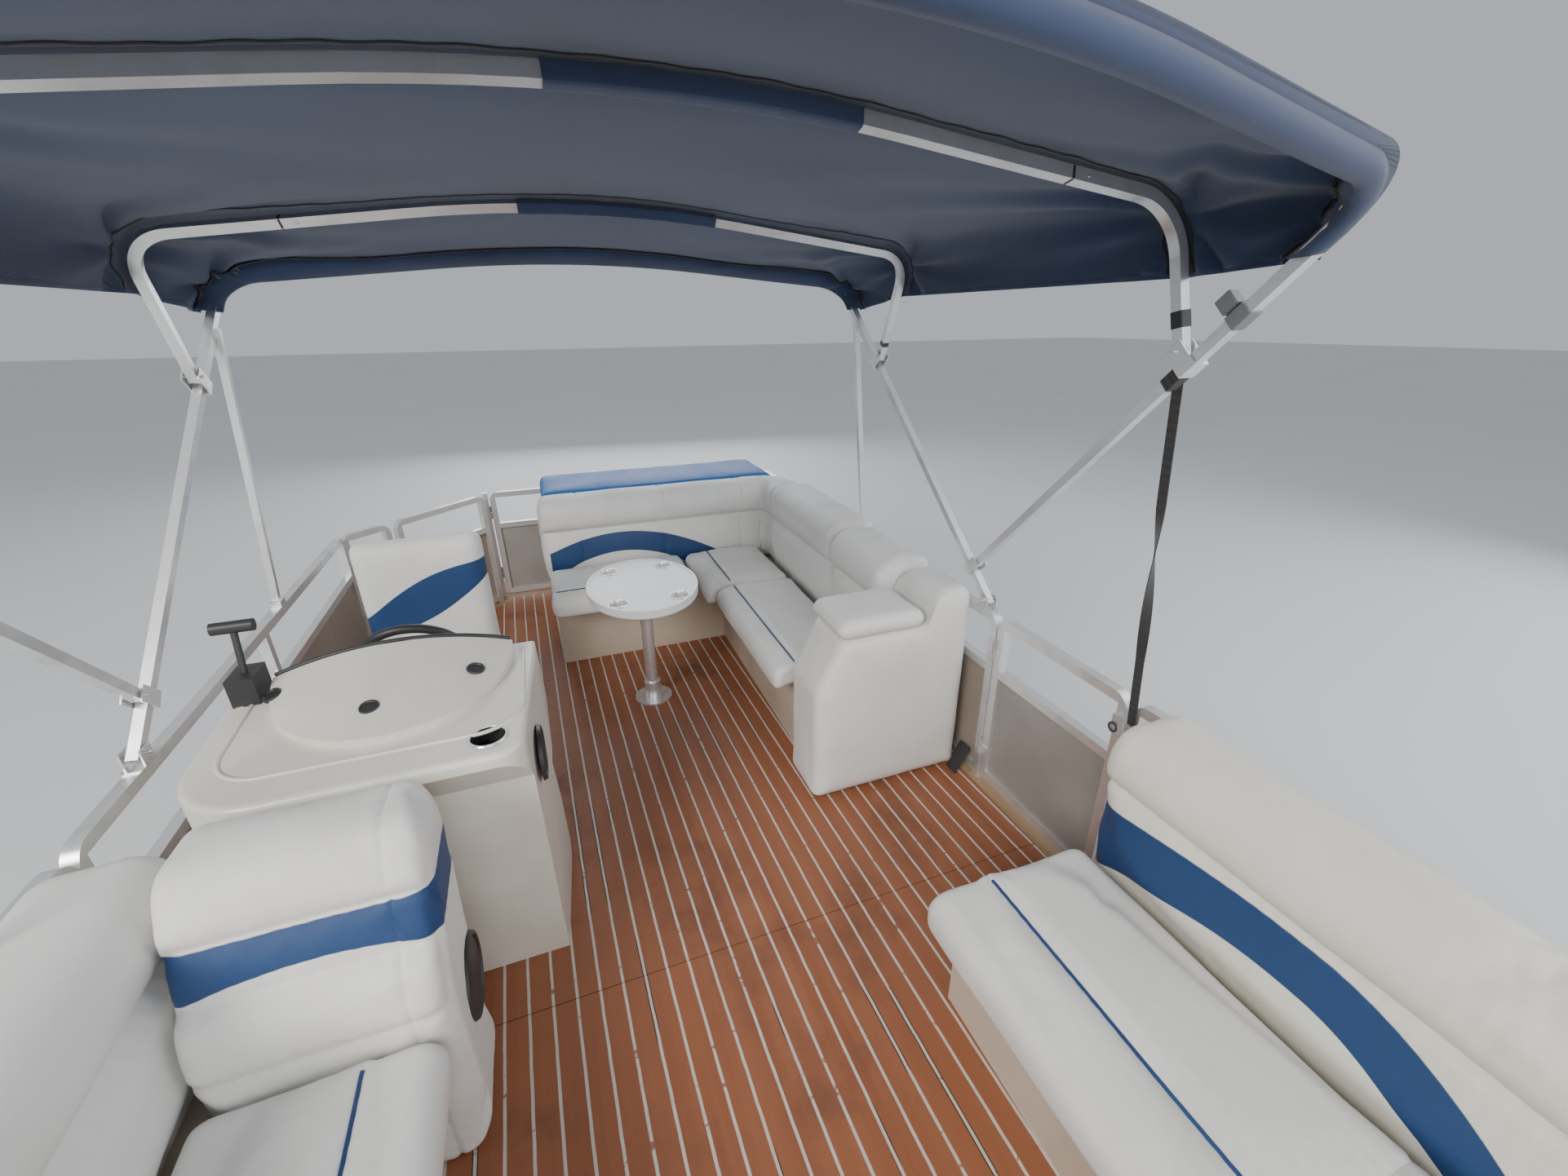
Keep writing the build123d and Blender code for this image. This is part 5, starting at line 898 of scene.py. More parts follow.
def seat_section(front, back, seam_at, corner):
    """A seat's section: a bolster at its front, a sewn valley behind it and a square back edge."""
    return outline([(front, SEAT_LOW, 0.022), (back, SEAT_LOW, 0.018), (back, SEAT_BACK_TOP, corner),
                    *seam(seam_at, SEAT_SEAM_TOP), (front, SEAT_FRONT_TOP, 0.050)])


port_seat = seat_section(0.482, 0.955, PORT_SEAM_X, 0.022)
starboard_seat = mirrored(seat_section(0.542, 0.955, -STARBOARD_SEAM_X, 0.022))
rolled_back = outline([(0.990, 0.337, 0.020), (1.188, 0.337, 0.020), (1.188, 0.790, 0.050),
                       (0.957, 0.790, 0.080), (0.957, 0.648, 0.050), (0.996, 0.634, 0), (0.982, 0.615, 0.012),
                       (0.970, 0.460, 0.060)])
PORT_BACK_SEAMS = (1.446,)
PORT_SEAM_LOWEST = 0.70
STARBOARD_BACK_SEAMS = (0.985, 1.42, 1.86)


def back_seams(stations, lowest=0.0):
    """Distances from cross seams that end at a lowest height, and from the valley under the roll."""
    return [lambda x, s, z, at_s=n: np.hypot(s - at_s, np.maximum(0.0, lowest - z)) for n in stations] + [
        lambda x, s, z: np.hypot(np.abs(x) - 0.996, z - 0.634)]


pad("bow_port_seat_cover", along_boat(0.740, 2.170, port_seat, (1.44,)), white_finish, ("bow_port_seat",),
    "bow_port_lid", 0.010, [groove_x(PORT_SEAM_X, 0.436), lambda x, s, z: s - 1.44])
pad("bow_starboard_seat_cover", along_boat(0.740, 2.230, starboard_seat, (1.30,)), white_finish,
    ("bow_starboard_seat",), "bow_starboard_lid", 0.010,
    [groove_x(STARBOARD_SEAM_X, 0.436), lambda x, s, z: s - 1.30])
pad("bow_port_back_cover", along_boat(0.740, 2.170, rolled_back, (), 0.045), cream_band_finish,
    ("bow_backs",), swell=0.012, seams=back_seams(PORT_BACK_SEAMS, PORT_SEAM_LOWEST))
pad("bow_starboard_back_cover", along_boat(0.740, 2.540, mirrored(rolled_back), STARBOARD_BACK_SEAMS, 0.045),
    white_finish, ("bow_backs",), swell=0.012, seams=back_seams(STARBOARD_BACK_SEAMS))
leaning_back = outline([(2.242, 0.003, 0.010), (2.512, 0.003, 0.010), (2.575, 0.755, 0.050),
                        (2.518, 0.824, 0.040), (2.380, 0.826, 0.062), (2.318, 0.722, 0.040),
                        (2.334, 0.695, 0), (2.322, 0.682, 0),
                        (2.296, 0.606, 0), (2.299, 0.597, 0), (2.260, 0.572, 0.026), (2.236, 0.480, 0.016),
                        (2.246, 0.460, 0), (2.238, 0.440, 0.014)])
END_PANEL_SEAM = -0.600
pad("bow_starboard_end_back", across_boat(-0.952, -0.540, leaning_back, (END_PANEL_SEAM,)), arched_finish,
    ("bow_backs",), swell=0.011, seams=[
        lambda x, s, z: x - END_PANEL_SEAM, groove_s(2.334, 0.695),
        groove_s(2.299, 0.599), groove_s(2.246, 0.460)])
print("forward covers", len(PADS))

# %% [markdown]
# The aft lounge starts at a tall arm block beside the gate and runs along the fence to the stern,
# where its back turns the corner in one roll. The block's inner edge leans outboard towards its
# top, and a separate pad lies on it. Behind the stern seat lies the blue sun pad.

# %% Aft lounge
AFT_SEAM_X = 0.60
STERN_SEAM_S = 4.39
arm_block = outline([(0.557, 0.003, 0.012), (1.188, 0.003, 0.012), (1.188, 0.800, 0.050),
                     (1.045, 0.800, 0.060), (1.000, 0.672, 0.030), (0.655, 0.665, 0.035),
                     (0.557, 0.460, 0.090)])
pad("aft_arm_cover", along_boat(2.980, 3.254, arm_block, end_radius=0.045), white_finish, ("aft_arm",),
    swell=0.006)
arm_pad = block(0.640, 0.990, 0.668, 0.735, 0.030, 0.032)
pad("aft_arm_pad", along_boat(2.975, 3.250, arm_pad), white_finish, (), swell=0.006)
port_aft_seat = seat_section(0.502, 0.920, AFT_SEAM_X, 0.020)
corner_seat = seat_section(0.462, 0.920, AFT_SEAM_X, 0.020)
stern_seat = seat_section(4.292, 4.740, STERN_SEAM_S, 0.020)
pad("aft_seat_port_cover", along_boat(3.272, 4.172, port_aft_seat), white_finish, ("aft_seat_port",),
    "aft_port_lid", 0.010, [groove_x(AFT_SEAM_X, 0.436)])
pad("aft_seat_corner_cover", along_boat(4.182, 4.740, corner_seat), white_finish, ("aft_seat_corner",),
    swell=0.010, seams=[groove_x(AFT_SEAM_X, 0.436)])
pad("aft_seat_stern_cover", across_boat(-0.288, 0.450, stern_seat), white_finish, ("aft_seat_stern",),
    "stern_lid", 0.010, [groove_s(STERN_SEAM_S, 0.436)])


def tall_back(top):
    """The section of a port aft back with its roll's top at a height."""
    return outline([(0.960, 0.337, 0.020), (1.188, 0.337, 0.020), (1.188, top, 0.050), (0.938, top, 0.085),
                    (0.936, 0.660, 0.045), (0.968, 0.646, 0), (0.954, 0.625, 0.012), (0.942, 0.460, 0.060)])


aft_back_seams = [groove_x(0.968, 0.646)]
pad("aft_back_forward", along_boat(3.272, 3.745, tall_back(0.820), end_radius=0.045), white_finish,
    ("aft_backs",), swell=0.011, seams=aft_back_seams)
pad("aft_back_port", along_boat(3.757, 4.588, tall_back(0.840), end_radius=0.055), white_finish,
    ("aft_backs",), swell=0.011, seams=aft_back_seams)
CORNER_ARC = 0.25
arc_turn = np.linspace(np.pi / 2, 0, 16)
corner_path = at(1.190 - CORNER_ARC + CORNER_ARC * np.cos(arc_turn), 4.713 + CORNER_ARC * np.sin(arc_turn), 0)
stern_path = np.concatenate([line(at(-0.288, 4.963, 0), at(0.92, 4.963, 0)), corner_path,
                             line(at(1.190, 4.70, 0), at(1.190, 4.600, 0))])
stern_roll = outline([(0.002, 0.337, 0.020), (0.190, 0.337, 0.020), (0.203, 0.460, 0.060),
                      (0.192, 0.610, 0.012), (0.180, 0.634, 0), (0.220, 0.650, 0.045),
                      (0.222, 0.810, 0.080), (0.002, 0.810, 0.050)])
STERN_SEAMS = (0.20, 0.66, 1.12)
pad("aft_back_stern", cover(stern_roll, stern_path, STERN_SEAMS, 0.040), lens_finish, ("aft_backs",),
    swell=0.011, seams=[lambda x, s, z, at_x=n: np.where(s > 4.6, x + 0.288 - at_x, 1.0) for n in STERN_SEAMS]
    + [groove_s(4.783, 0.634)])
sun_section = block(4.976, 5.508, 0.703, 0.800, 0.035, 0.042)
pad("sun_pad_cover", across_boat(-0.278, 1.128, sun_section, end_radius=0.042), sun_pad_finish, ("sun_pad",),
    swell=0.010)
chair_seat = outline([(3.512, 0.372, 0.025), (3.900, 0.372, 0.020), (3.900, 0.478, 0.025), *seam(3.60, 0.480),
                      (3.512, 0.486, 0.045)])
chair_back = block(3.912, 4.008, 0.372, 0.930, 0.030, 0.040)
pad("chair_seat_cover", across_boat(-0.970, -0.490, chair_seat, end_radius=0.035), white_finish,
    ("chair_cushions",), "chair", 0.010, [groove_s(3.60, 0.475)])
pad("chair_back_cover", across_boat(-0.970, -0.490, chair_back, end_radius=0.045), swoosh_finish,
    ("chair_cushions",), "chair", 0.010)
stuff_all()
print("covers", len(PADS), "points", sum(len(made.data.vertices) for made, _, _ in PADS))

# %% [markdown]
# Each seat is divided by a line of dark piping, a cord sewn into the valley beside the bolster. It is
# laid on the stuffed cover from above, so it follows every small rise of the vinyl.

# %% Piping
PIPING_RADIUS = 0.0038
COVERS = {made.name: made for made, _, _ in PADS}
PIPINGS = (
    # cover, body, where the piping starts and ends (metres to port, station)
    ("bow_port_seat_cover", "bow_port_lid", (PORT_SEAM_X, 0.775), (PORT_SEAM_X, 2.135)),
    ("bow_starboard_seat_cover", "bow_starboard_lid", (STARBOARD_SEAM_X, 0.775), (STARBOARD_SEAM_X, 2.195)),
    ("aft_seat_port_cover", "aft_port_lid", (AFT_SEAM_X, 3.305), (AFT_SEAM_X, 4.140)),
    ("aft_seat_corner_cover", "hull", (AFT_SEAM_X, 4.215), (AFT_SEAM_X, 4.705)),
    ("aft_seat_stern_cover", "stern_lid", (-0.255, STERN_SEAM_S), (0.415, STERN_SEAM_S)),
    ("chair_seat_cover", "chair", (-0.935, 3.60), (-0.525, 3.60)),
)
for cover_name, body, start, end in PIPINGS:
    path = laid(COVERS[cover_name], line(at(*start, 0.5), at(*end, 0.5)), (0, 0, -1), 0.0012)
    cord = carry(path, circle(PIPING_RADIUS, 8))
    piece(cover_name.replace("_cover", "_piping"), [cord], piping_finish, body)
print("piping on", len(PIPINGS), "seats")

# %% [markdown]
# The top is one sheet of canvas over four bows of square tube. Each bow is a flat arch and stands in
# a leaning plane of its own. So one function draws any bow's arch, moved outwards by any distance,
# and another gives places in its plane.

# %% Bows
BOWS = {
    # bow: pivot station and height, angle, length of the legs, half width at pivot and corners, rise
    "front": (3.0373, 0.8631, 135.0, 1.450, 1.2217, 1.110, 0.185),
    "inner_front": (2.3358, 1.6183, 77.0, 0.300, 1.1424, 1.118, 0.145),
    "inner_rear": (3.7007, 1.5501, 120.0, 0.400, 1.1447, 1.118, 0.145),
    "rear": (2.9500, 0.7180, 46.0, 1.550, 1.2350, 1.110, 0.150),
}
BOW_CORNER = 0.13
CROWN = 3.6
VALANCE = 0.14
TUBE_HALF = 0.0125


def on_bow(name, across, along, off=0.0):
    """Places in a bow's plane: metres to port, along its legs from the pivot, and off the plane."""
    station, height, angle = BOWS[name][:3]
    run, climb = math.cos(math.radians(angle)), math.sin(math.radians(angle))
    return at(across, station + along * run - off * climb, height + along * climb + off * run)


def leg_half(name, along):
    """Half the width between a bow's legs at a distance along them."""
    length, foot, top = BOWS[name][3:6]
    return foot + (top - foot) * along / length


def plane_of(name):
    """The direction square to a bow's plane, towards the bow of the boat."""
    turn = math.radians(BOWS[name][2])
    return 0.0, -math.sin(turn), math.cos(turn)


def arch(name, away=0.0, count=181):
    """Places along a bow, moved outwards by away, from a valance's depth below its corners."""
    angle, length, rise = BOWS[name][2], BOWS[name][3], BOWS[name][6]
    away = away / math.sin(math.radians(angle))
    top, low = leg_half(name, length) + away, leg_half(name, length - VALANCE) + away
    bend = outline([(-low, length - VALANCE, 0), (-top, length + away, BOW_CORNER + away),
                    (0, length + rise + away, CROWN), (top, length + away, BOW_CORNER + away),
                    (low, length - VALANCE, 0)], 0.01, closed=False)
    far = reach_of(bend)
    spots = np.linspace(0, far[-1], count)
    return on_bow(name, np.interp(spots, far, bend[:, 0]), np.interp(spots, far, bend[:, 1]))


print("bows", {name: round(float(reach_of(arch(name))[-1]), 2) for name in BOWS})

# %% [markdown]
# The sheet is the four arches joined by straight rows, and then three things make it cloth. It sags
# between bows. Folds radiate from each bow's corners, where the pull comes from. And its two ends
# turn round the main bows and back, as pockets that close with a zip. The sheet's outward direction
# is the cross product of its run across and its run along.

# %% Canvas sheet
SHEET_AWAY = 0.0247
SHEET_HALF = 0.001
ROW_STEP = 0.022
SAG = 0.018
FOLD = 0.015
FOLD_REACH = 0.42
CORNER_REACH = 0.11
POCKET = 0.085
POCKET_RADIUS = 0.0235
ZIP_AWAY = 0.034


def sheet_out(points):
    """Outward directions of a grid of places."""
    return unit(np.cross(np.gradient(points, axis=1), np.gradient(points, axis=0)))


def shell(points, half):
    """A sheet's two faces, half a thickness to each side of its grid, joined round its edges."""
    thick = np.full(points.shape[:2] + (1,), half)
    thick[[0, -1]] = 0.0
    move = sheet_out(points) * thick
    return grid(np.concatenate([points + move, (points - move)[:, ::-1]], axis=1), wrap=True)


def folds(along, across, rib_along):
    """Height of the folds at distance d and turn a from a corner.

    It is FOLD * (sin 9a + sin 17a / 2) * exp(-d / FOLD_REACH), and nothing on a bow.
    """
    height = 0.0025 * np.sin(along * 5.1 + across * 3.3) * np.sin(across * 7.0 - along * 4.0)
    for n, rib in enumerate(rib_along):
        for side in (0, 1):
            a = np.abs(across - side * across[0, -1]) - CORNER_REACH
            b = along - rib
            d = np.hypot(a, b)
            turn = np.arctan2(b, a)
            fan = np.sin(9 * turn + 1.7 * n + side) + 0.5 * np.sin(17 * turn + 2.3 * n)
            height = height + FOLD * fan * np.exp(-d / FOLD_REACH) * (1 - np.exp(-(d / 0.07) ** 2))
    flat = np.abs(along[..., None] - rib_along).min(-1)
    return height * (1 - np.exp(-(flat / 0.05) ** 2))


def pocket(rows, tube):
    """Rows that turn a sheet's end round a tube and back to its zip; its outermost row comes first."""
    out = sheet_out(rows)
    out = out * np.sign(out[0, len(out[0]) // 2, 2])
    ahead = unit(rows[0] - rows[1])
    behind = np.linalg.norm(rows - rows[0], axis=-1).mean(1)
    n = int(np.argmin(np.abs(behind - POCKET)))
    turn = np.radians([-105, -75, -45, -15, 15, 45, 70])[:, None, None]
    loop = tube + POCKET_RADIUS * (np.cos(turn) * ahead + np.sin(turn) * out[0])
    sewn = rows[n] - 0.0045 * out[n]
    wave = np.sin(np.linspace(0, 90, rows.shape[1]))[:, None]
    slack = (sewn + loop[0]) / 2 - (0.002 + 0.002 * wave) * out[0]
    return np.concatenate([[sewn, slack], loop])


ribs = np.array([arch(name, SHEET_AWAY) for name in BOWS])
bays = np.linalg.norm(np.diff(ribs, axis=0), axis=-1).mean(1)
rib_along = np.concatenate([[0.0], np.cumsum(bays)])
in_bays = [k + np.linspace(0, 1, int(b / ROW_STEP), endpoint=False) for k, b in enumerate(bays)]
spots = np.concatenate(in_bays + [[3.0]])
bay = np.minimum(spots.astype(int), 2)
share = (spots - bay)[:, None]
main = ribs[bay] * (1 - share[..., None]) + ribs[bay + 1] * share[..., None]
along = np.interp(spots, range(4), rib_along)[:, None]
across = reach_of(ribs[1])[None]
lift = folds(along, across, rib_along) - SAG * np.sin(np.pi * share) * bays[bay][:, None]
main = main + sheet_out(main) * lift[..., None]
front_pocket = pocket(main, arch("front"))
rear_pocket = pocket(main[::-1], arch("rear"))
sheet_rows = np.concatenate([front_pocket, main, rear_pocket[::-1]])
canopy = piece("canopy_sheet", [shell(sheet_rows, SHEET_HALF)], canvas_finish, "hull", ("top_canopy",),
               180)

# %% [markdown]
# Black zips close the pockets, wavy because the tape is tighter than the cloth. The valances are
# bound along their lower edges. Where the inner bows hang from the sheet, a sleeve of canvas wraps
# the middle of each.

# %% Zips, bindings and sleeves
SLEEVE_HALF = 0.0155
SLEEVES = (("inner_front", -0.136, 0.382), ("inner_rear", -0.182, 0.400))


def zip_line(row, ahead, out):
    """A flat black tape under a row of the sheet, waving by up to 5 mm along the boat."""
    far = reach_of(row)
    wave = 0.0028 * np.sin(far * 71.0) + 0.0022 * np.sin(far * 29.0)
    return carry(row - 0.0035 * out + wave[:, None] * ahead, circle(1.0, 8) * (0.0016, 0.0042), (0, 1, 0))


def row_at(distance):
    """The row of the main sheet nearest to a distance from the front bow."""
    return int(np.argmin(np.abs(along[:, 0] - distance)))


main_out = sheet_out(main)
fore_aft = unit(np.gradient(main, axis=0))
zip_places = (POCKET, rib_along[1] - ZIP_AWAY, rib_along[1] + ZIP_AWAY, rib_along[2] - ZIP_AWAY,
              rib_along[3] - POCKET)
zip_rows = [row_at(d) for d in zip_places]
zip_drop = [0.0045, 0.0, 0.0, 0.0, 0.0045]
zips = piece("canopy_zips", [zip_line(main[n] - drop * main_out[n], fore_aft[n], main_out[n])
                             for n, drop in zip(zip_rows, zip_drop)], webbing_finish)
binding = circle(1.0, 8) * (0.0022, 0.007)
bindings = piece("canopy_binding", [carry(main[:, n], binding) for n in (0, -1)], canvas_finish)
for made in (canopy, zips, bindings):
    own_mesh(made)
sleeve_section = square(2 * SLEEVE_HALF, 2 * SLEEVE_HALF, 0.006, 0.006)
for name, low, high in SLEEVES:
    path = arch(name, count=420)
    path = path[(path[:, 0] > low) & (path[:, 0] < high)]
    puff = 1.04 + 0.04 * np.sin(path[:, 0] * 75) * np.sin(path[:, 0] * 31)
    piece(name + "_sleeve", [carry(path, sleeve_section, plane_of(name), puff)], canvas_finish, "top_" + name)
print("zips", len(zip_rows), "sleeves", len(SLEEVES))

# %% [markdown]
# Webbing straps hold the front bow down to the rail. They are flat where they lie on metal, and they
# turn half round on the way, which is why the middle looks thin. A turn of black tape, a clamp that
# slides on the leg, joints between tubes and small rivets finish the frame.

# %% Straps, tape and rivets
BAND_RADIUS = 0.002
STRAP_TOP = (1.160, 2.3415, 1.550)
STRAP_FEET = {PORT: 0.640, STARBOARD: 0.710}
STRAP_BAND = np.array([(-0.013, -0.0012), (0.013, -0.0012), (0.013, 0.0012), (-0.013, 0.0012)])


def bar(start, end, width, height, radius=0.0, square_to=(0, 0, 1)):
    """A straight bar between two places; its width lies square to it and to square_to."""
    return carry([start, end], square(width, height, radius, 0.004), square_to)


def band_on_bow(name, side, low, high, half):
    """A square sleeve round one leg of a bow, between two distances along it."""
    ends = [on_bow(name, side * leg_half(name, v), v) for v in (low, high)]
    return bar(*ends, 2 * half, 2 * half, BAND_RADIUS, plane_of(name))


for side, word in ((PORT, "port"), (STARBOARD, "starboard")):
    low = at(side * 1.214, 2.294, STRAP_FEET[side])
    high = at(side * STRAP_TOP[0], *STRAP_TOP[1:])
    path = line(low, high, 0.02)
    share = np.linspace(0, 1, len(path))
    twist = np.pi * side * np.clip(1.5 - 2.2 * share, 0, 1)
    strap = piece("strap_" + word, [carry(path, STRAP_BAND, (1, 0, 0), twist=twist),
                                    band_on_bow("front", side, 0.964, 1.004, TUBE_HALF + 0.003)],
                  webbing_finish, "top_front", ("top_straps",))
    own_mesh(strap)
tapes = [band_on_bow("inner_front", PORT, 0.050, 0.085, TUBE_HALF + 0.0022),
         band_on_bow("inner_rear", PORT, 0.048, 0.066, TUBE_HALF + 0.0012)]
piece("bow_tape", tapes[:1], black_finish, "top_inner_front")
piece("bow_tape_aft", tapes[1:], black_finish, "top_inner_rear")
SLIDER_AT = 1.17
slider = [band_on_bow("front", PORT, SLIDER_AT - 0.022, SLIDER_AT + 0.022, TUBE_HALF + 0.004),
          bar(on_bow("front", leg_half("front", SLIDER_AT) - 0.012, SLIDER_AT, -0.018),
              on_bow("front", leg_half("front", SLIDER_AT) - 0.012, SLIDER_AT, -0.050), 0.030, 0.036, 0.003)]
piece("bow_slider", slider, dull_finish, "top_front")
RIVET = turned([(0.0, 0.0016), (0.002, 0.0014), (0.0036, 0.0004), (0.0038, -0.001)], (0, 0, 0), (0, 0, 1), 10)


def rivets(places, axis, size=1.0):
    """Round heads at some places, all facing along one axis."""
    axis = Vector(axis).normalized()
    turn = np.array(axis.to_track_quat("Z", "Y").to_matrix())
    return many((RIVET[0] @ turn.T * size, RIVET[1]), places)


def splice(name, x):
    """The joint between two tubes of a bow at a width: a thin dark ring, and a rivet beside it."""
    path = arch(name, count=900)
    n = int(np.argmin(np.abs(path[:, 0] - x)))
    size = 2 * TUBE_HALF + 0.0012
    ring = bar(path[n - 1], path[n + 1], size, size, BAND_RADIUS, plane_of(name))
    facing = np.array(plane_of(name))
    return ring, rivets(path[n + 14] + facing * TUBE_HALF, facing)


for name, x in (("inner_front", 0.83), ("inner_rear", -0.761)):
    ring, head = splice(name, x)
    piece(name + "_splice", [ring], black_finish, "top_" + name)
    piece(name + "_rivet", [head], steel_finish, "top_" + name)
heads = [rivets(on_bow("rear", side * (leg_half("rear", v) - TUBE_HALF), v), (-side, 0, 0), 0.8)
         for side in (PORT, STARBOARD) for v in (0.30, 0.47, 0.60, 0.74, 0.93)]
piece("rear_bow_rivets", heads, steel_finish)
print("straps, tape and rivets on the bows")

# %% [markdown]
# The fence is filled with thin sheet, painted taupe. Its fine ribs are a wave in the paint's bump, one
# every nine millimetres. The gates' sheets are smooth. A latch has a ring to pull.

# %% Gates and latches
GATE_LOW, GATE_HIGH = 0.060, 0.478
GATE_SHEET = 0.0046
GATE_SHEETS = (
    # gate, two opposite corners (metres to port, station)
    ("gate_port", (1.235, 2.352), (1.235, 2.848)),
    ("gate_bow", (-0.288, 0.640), (0.288, 0.640)),
    ("gate_stern", (-0.543, 5.540), (-0.247, 5.540)),
)
gate_finish = moulded("gate_paint", (0.30, 0.275, 0.26), (0.25, 0.23, 0.22), 0.38, 140.0, 0.0003)
middle = (GATE_LOW + GATE_HIGH) / 2
for gate, start, end in GATE_SHEETS:
    sheet = bar(at(*start, middle), at(*end, middle), GATE_SHEET, GATE_HIGH - GATE_LOW)
    piece(gate + "_sheet", [sheet], gate_finish, gate)
print("gate sheets", len(GATE_SHEETS))

# %% [markdown]
# Small round fittings are all turned from a profile: speakers with ringed grilles, plugs in the
# cowl, a brass socket, and chrome rings with black liners in the drink holders. The cowl has a
# rubber edge over the gauges, and a moulded bead runs round it on the console's top.

# %% Console, table and speaker fittings
COWL_X, COWL_FRONT, COWL_AFT = -0.668, 2.735, 3.080
COWL_FRONT_TOP, COWL_AFT_TOP, COWL_DOME = 0.803, 0.888, 0.900
CONSOLE_RISE = 0.025 / 0.527


def cowl_height(x, station):
    """Height of the cowl's dome: a slope along the boat less the drop of a circle across it."""
    slope = (COWL_AFT_TOP - COWL_FRONT_TOP) / (COWL_AFT - COWL_FRONT)
    drop = COWL_DOME - np.sqrt(COWL_DOME ** 2 - (x - COWL_X) ** 2)
    return COWL_FRONT_TOP + (station - COWL_FRONT) * slope - drop


def console_top(station):
    """Height of the console's top, which rises gently aft."""
    return 0.775 + (station - 2.600) * CONSOLE_RISE


def speaker(radius):
    """A speaker's profile: a grille of four rings inside a raised rim, as (radius, height)."""
    grille = [(radius * r, 0.006 + 0.002 * (n % 2)) for n, r in enumerate(np.linspace(0, 0.8, 11))]
    return grille + [(radius * 0.84, 0.004), (radius * 0.88, 0.011), (radius * 0.96, 0.010), (radius, 0.0)]


SPEAKERS = (
    # place of the middle, direction it faces, radius
    ((-0.334, 2.79, 0.625), (1, 0, 0), 0.075),
    ((-0.533, 2.42, 0.33), (1, 0, 0), 0.095),
)
SCREW_OUT = 0.009
speakers, screws = [], []
for place, facing, radius in SPEAKERS:
    speakers.append(turned(speaker(radius), at(*place), facing, 40))
    for turn in np.radians([45, 135, 225, 315]):
        off = (SCREW_OUT, radius * 0.92 * math.cos(turn), radius * 0.92 * math.sin(turn))
        spot = np.array(place) + np.array(off)
        screws.append(rivets(at(*spot), facing, 0.9))
piece("speakers", speakers, black_finish)
piece("speaker_screws", screws, steel_finish)
PLUG = [(0.0, 0.0015), (0.015, 0.0015), (0.017, 0.004), (0.021, 0.004), (0.023, 0.001), (0.023, -0.006)]
plugs = []
for x, station in ((-0.945, 2.998), (-0.699, 2.838), (-0.466, 2.940)):
    facing = ((x - COWL_X) / COWL_DOME, -0.24, 1.0)
    plugs.append(turned(PLUG, at(x, station, cowl_height(x, station)), facing, 24))
piece("cowl_plugs", plugs, black_finish)
piece("brass_socket", [turned([(0, -0.002), (0.007, -0.002), (0.009, 0.004), (0.019, 0.003), (0.020, 0.0)],
                              at(-1.026, 3.033, console_top(3.033)), (0, -0.05, 1), 24)], brass_finish)
edge_x = np.linspace(-0.956, -0.380, 40)
edge = at(edge_x, COWL_AFT + 0.002, cowl_height(edge_x, COWL_AFT) - 0.002)
piece("cowl_edge", [carry(edge, circle(0.006, 10))], black_finish)
bead = outline([(-1.000, 3.085, 0), (-1.000, 2.695, 0.11), (-0.352, 2.695, 0.11), (-0.352, 3.085, 0)],
               0.015, False)
bead_path = at(bead[:, 0], bead[:, 1], console_top(bead[:, 1]))
piece("console_bead", [carry(bead_path, circle(0.005, 10))], gelcoat_finish)
CUP_RING = [(0.038, -0.050), (0.0385, 0.0005), (0.040, 0.003), (0.044, 0.003), (0.046, 0.0)]
CUP_LINER = [(0.0380, 0.001), (0.0355, -0.047), (0.0, -0.049)]
CUPS = [(-0.432, 2.678, console_top(2.678), 1.0)] + [
    (0.120 + 0.130 * i, 3.960 + 0.195 * j, 0.600 - 0.003, 0.5) for i in (-1, 1) for j in (-1, 1)]
rings = [turned([(r, h * (depth if h < 0 else 1.0)) for r, h in CUP_RING], at(x, station, height), sides=32)
         for x, station, height, depth in CUPS]
piece("console_cup_ring", rings[:1], steel_finish)
piece("console_cup_liner", [turned(CUP_LINER, at(*CUPS[0][:3]), sides=32)], black_finish)
piece("table_cup_rings", rings[1:], post_finish)
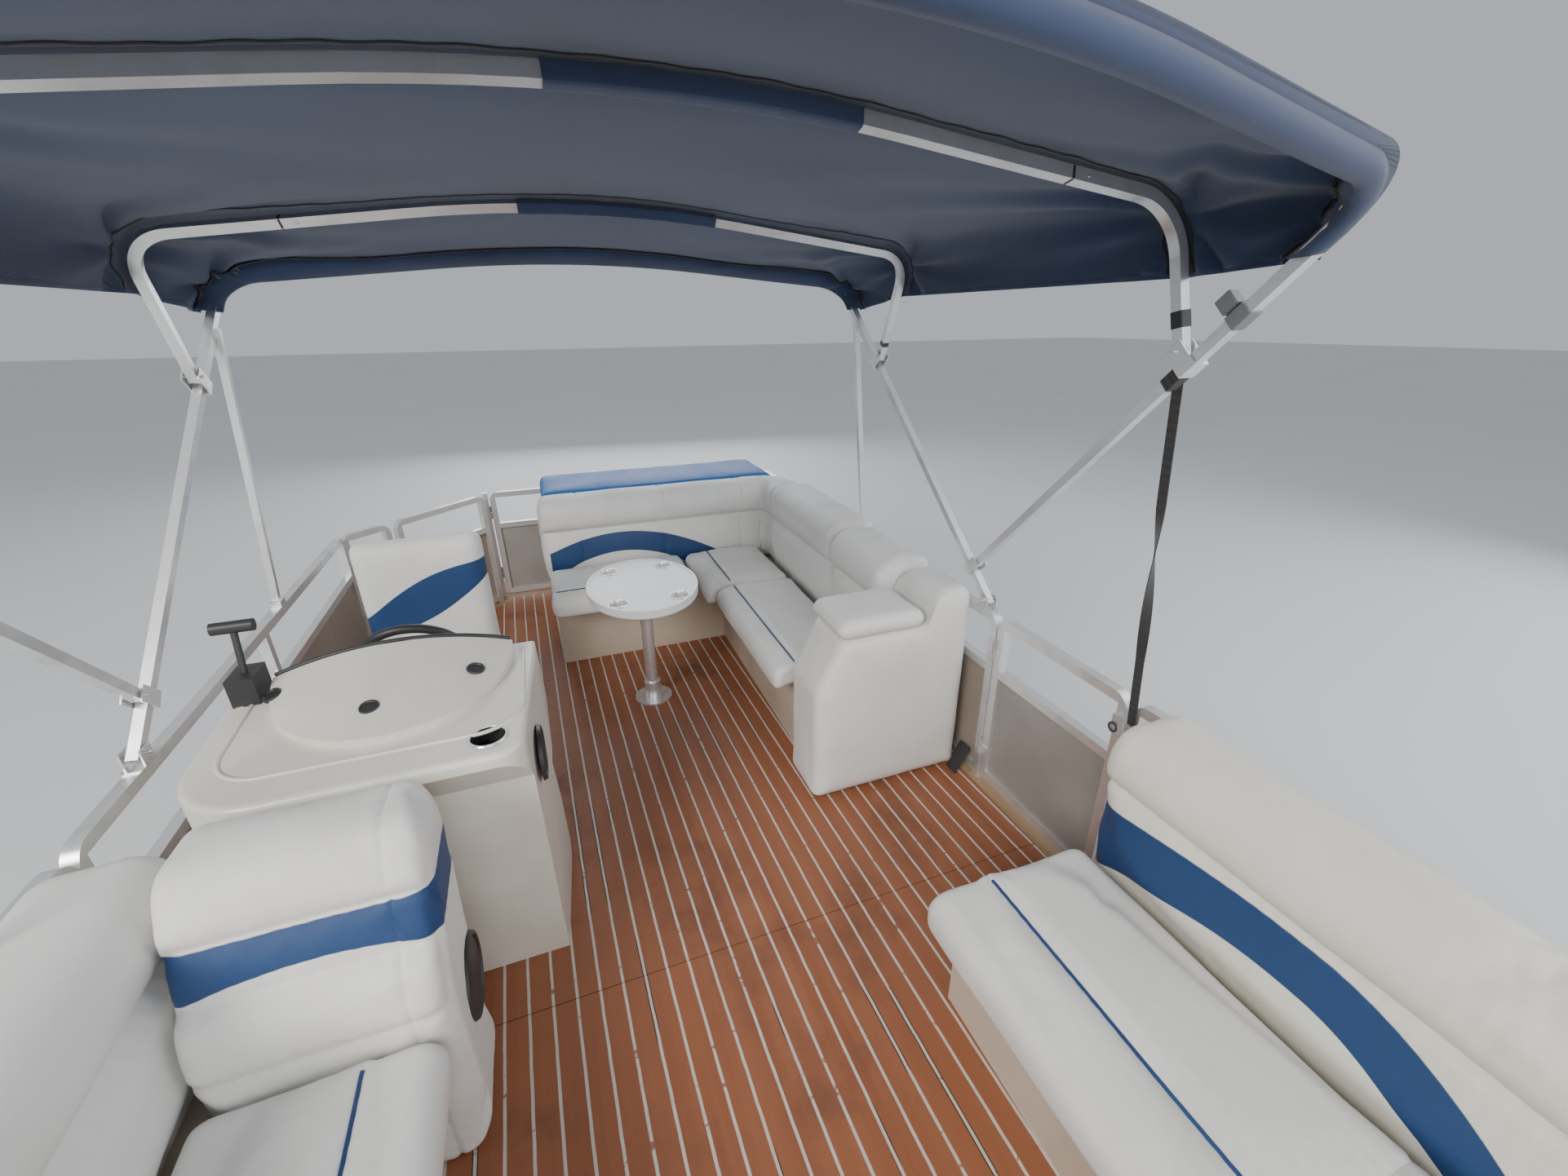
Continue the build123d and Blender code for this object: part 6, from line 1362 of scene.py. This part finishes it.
print("speakers", len(speakers), "cups", len(CUPS))

# %% [markdown]
# The last trims are seen from the dock or the water. The floats are rolled from sheet, so a raised
# weld runs round them at each joint. The motor's cowl has a rubber seam round its foot. It is drawn as
# if the motor hung down, and then tilted up with it.

# %% Hull and motor trim
FLOAT_X, FLOAT_AXIS, FLOAT_RADIUS = 0.88, -0.448, 0.305
WELDS = (1.05, 2.26, 3.47, 4.68, 5.85)
LATCH_STATION, LATCH_HEIGHT, RING_RADIUS = 2.336, 0.612, 0.013
MOTOR_AXIS = (6.182, 0.030)
MOTOR_TILT = math.radians(62.0)
COWL_BAND = 0.165


def with_motor(x, behind, above):
    """Places on the parked motor, from metres behind and above its tilt axis with the motor down."""
    back = behind * math.cos(MOTOR_TILT) - above * math.sin(MOTOR_TILT)
    rise = behind * math.sin(MOTOR_TILT) + above * math.cos(MOTOR_TILT)
    return at(x, MOTOR_AXIS[0] + back, MOTOR_AXIS[1] + rise)


weld = [(FLOAT_RADIUS - 0.003, -0.006), (FLOAT_RADIUS + 0.0022, -0.0015), (FLOAT_RADIUS + 0.0022, 0.0015),
        (FLOAT_RADIUS - 0.003, 0.006)]
piece("float_welds", [turned(weld, at(side * FLOAT_X, station, FLOAT_AXIS), (0, 1, 0), 72)
                      for side in (PORT, STARBOARD) for station in WELDS], hull_finish)
foot = square(2 * 0.1655, 0.481 - 0.009, 0.12, 0.02) + (0.0, (0.481 + 0.009) / 2)
piece("cowl_seam", [carry(with_motor(foot[:, 0], foot[:, 1], COWL_BAND), circle(0.0045, 8), (1.0, 0.02, 0.01),
                          closed=True)], black_finish, "motor")
piece("arm_gusset", [bar(at(1.150, 2.965, 0.001), at(1.205, 2.965, 0.110), 0.060, 0.004)], black_finish)
ring = circle(RING_RADIUS, 24) + (LATCH_STATION, LATCH_HEIGHT)
piece("latch_ring", [carry(at(1.197, ring[:, 0], ring[:, 1]), circle(0.003, 8), (1, 0, 0), closed=True)],
      black_finish, "gate_port")
print("welds", 2 * len(WELDS))
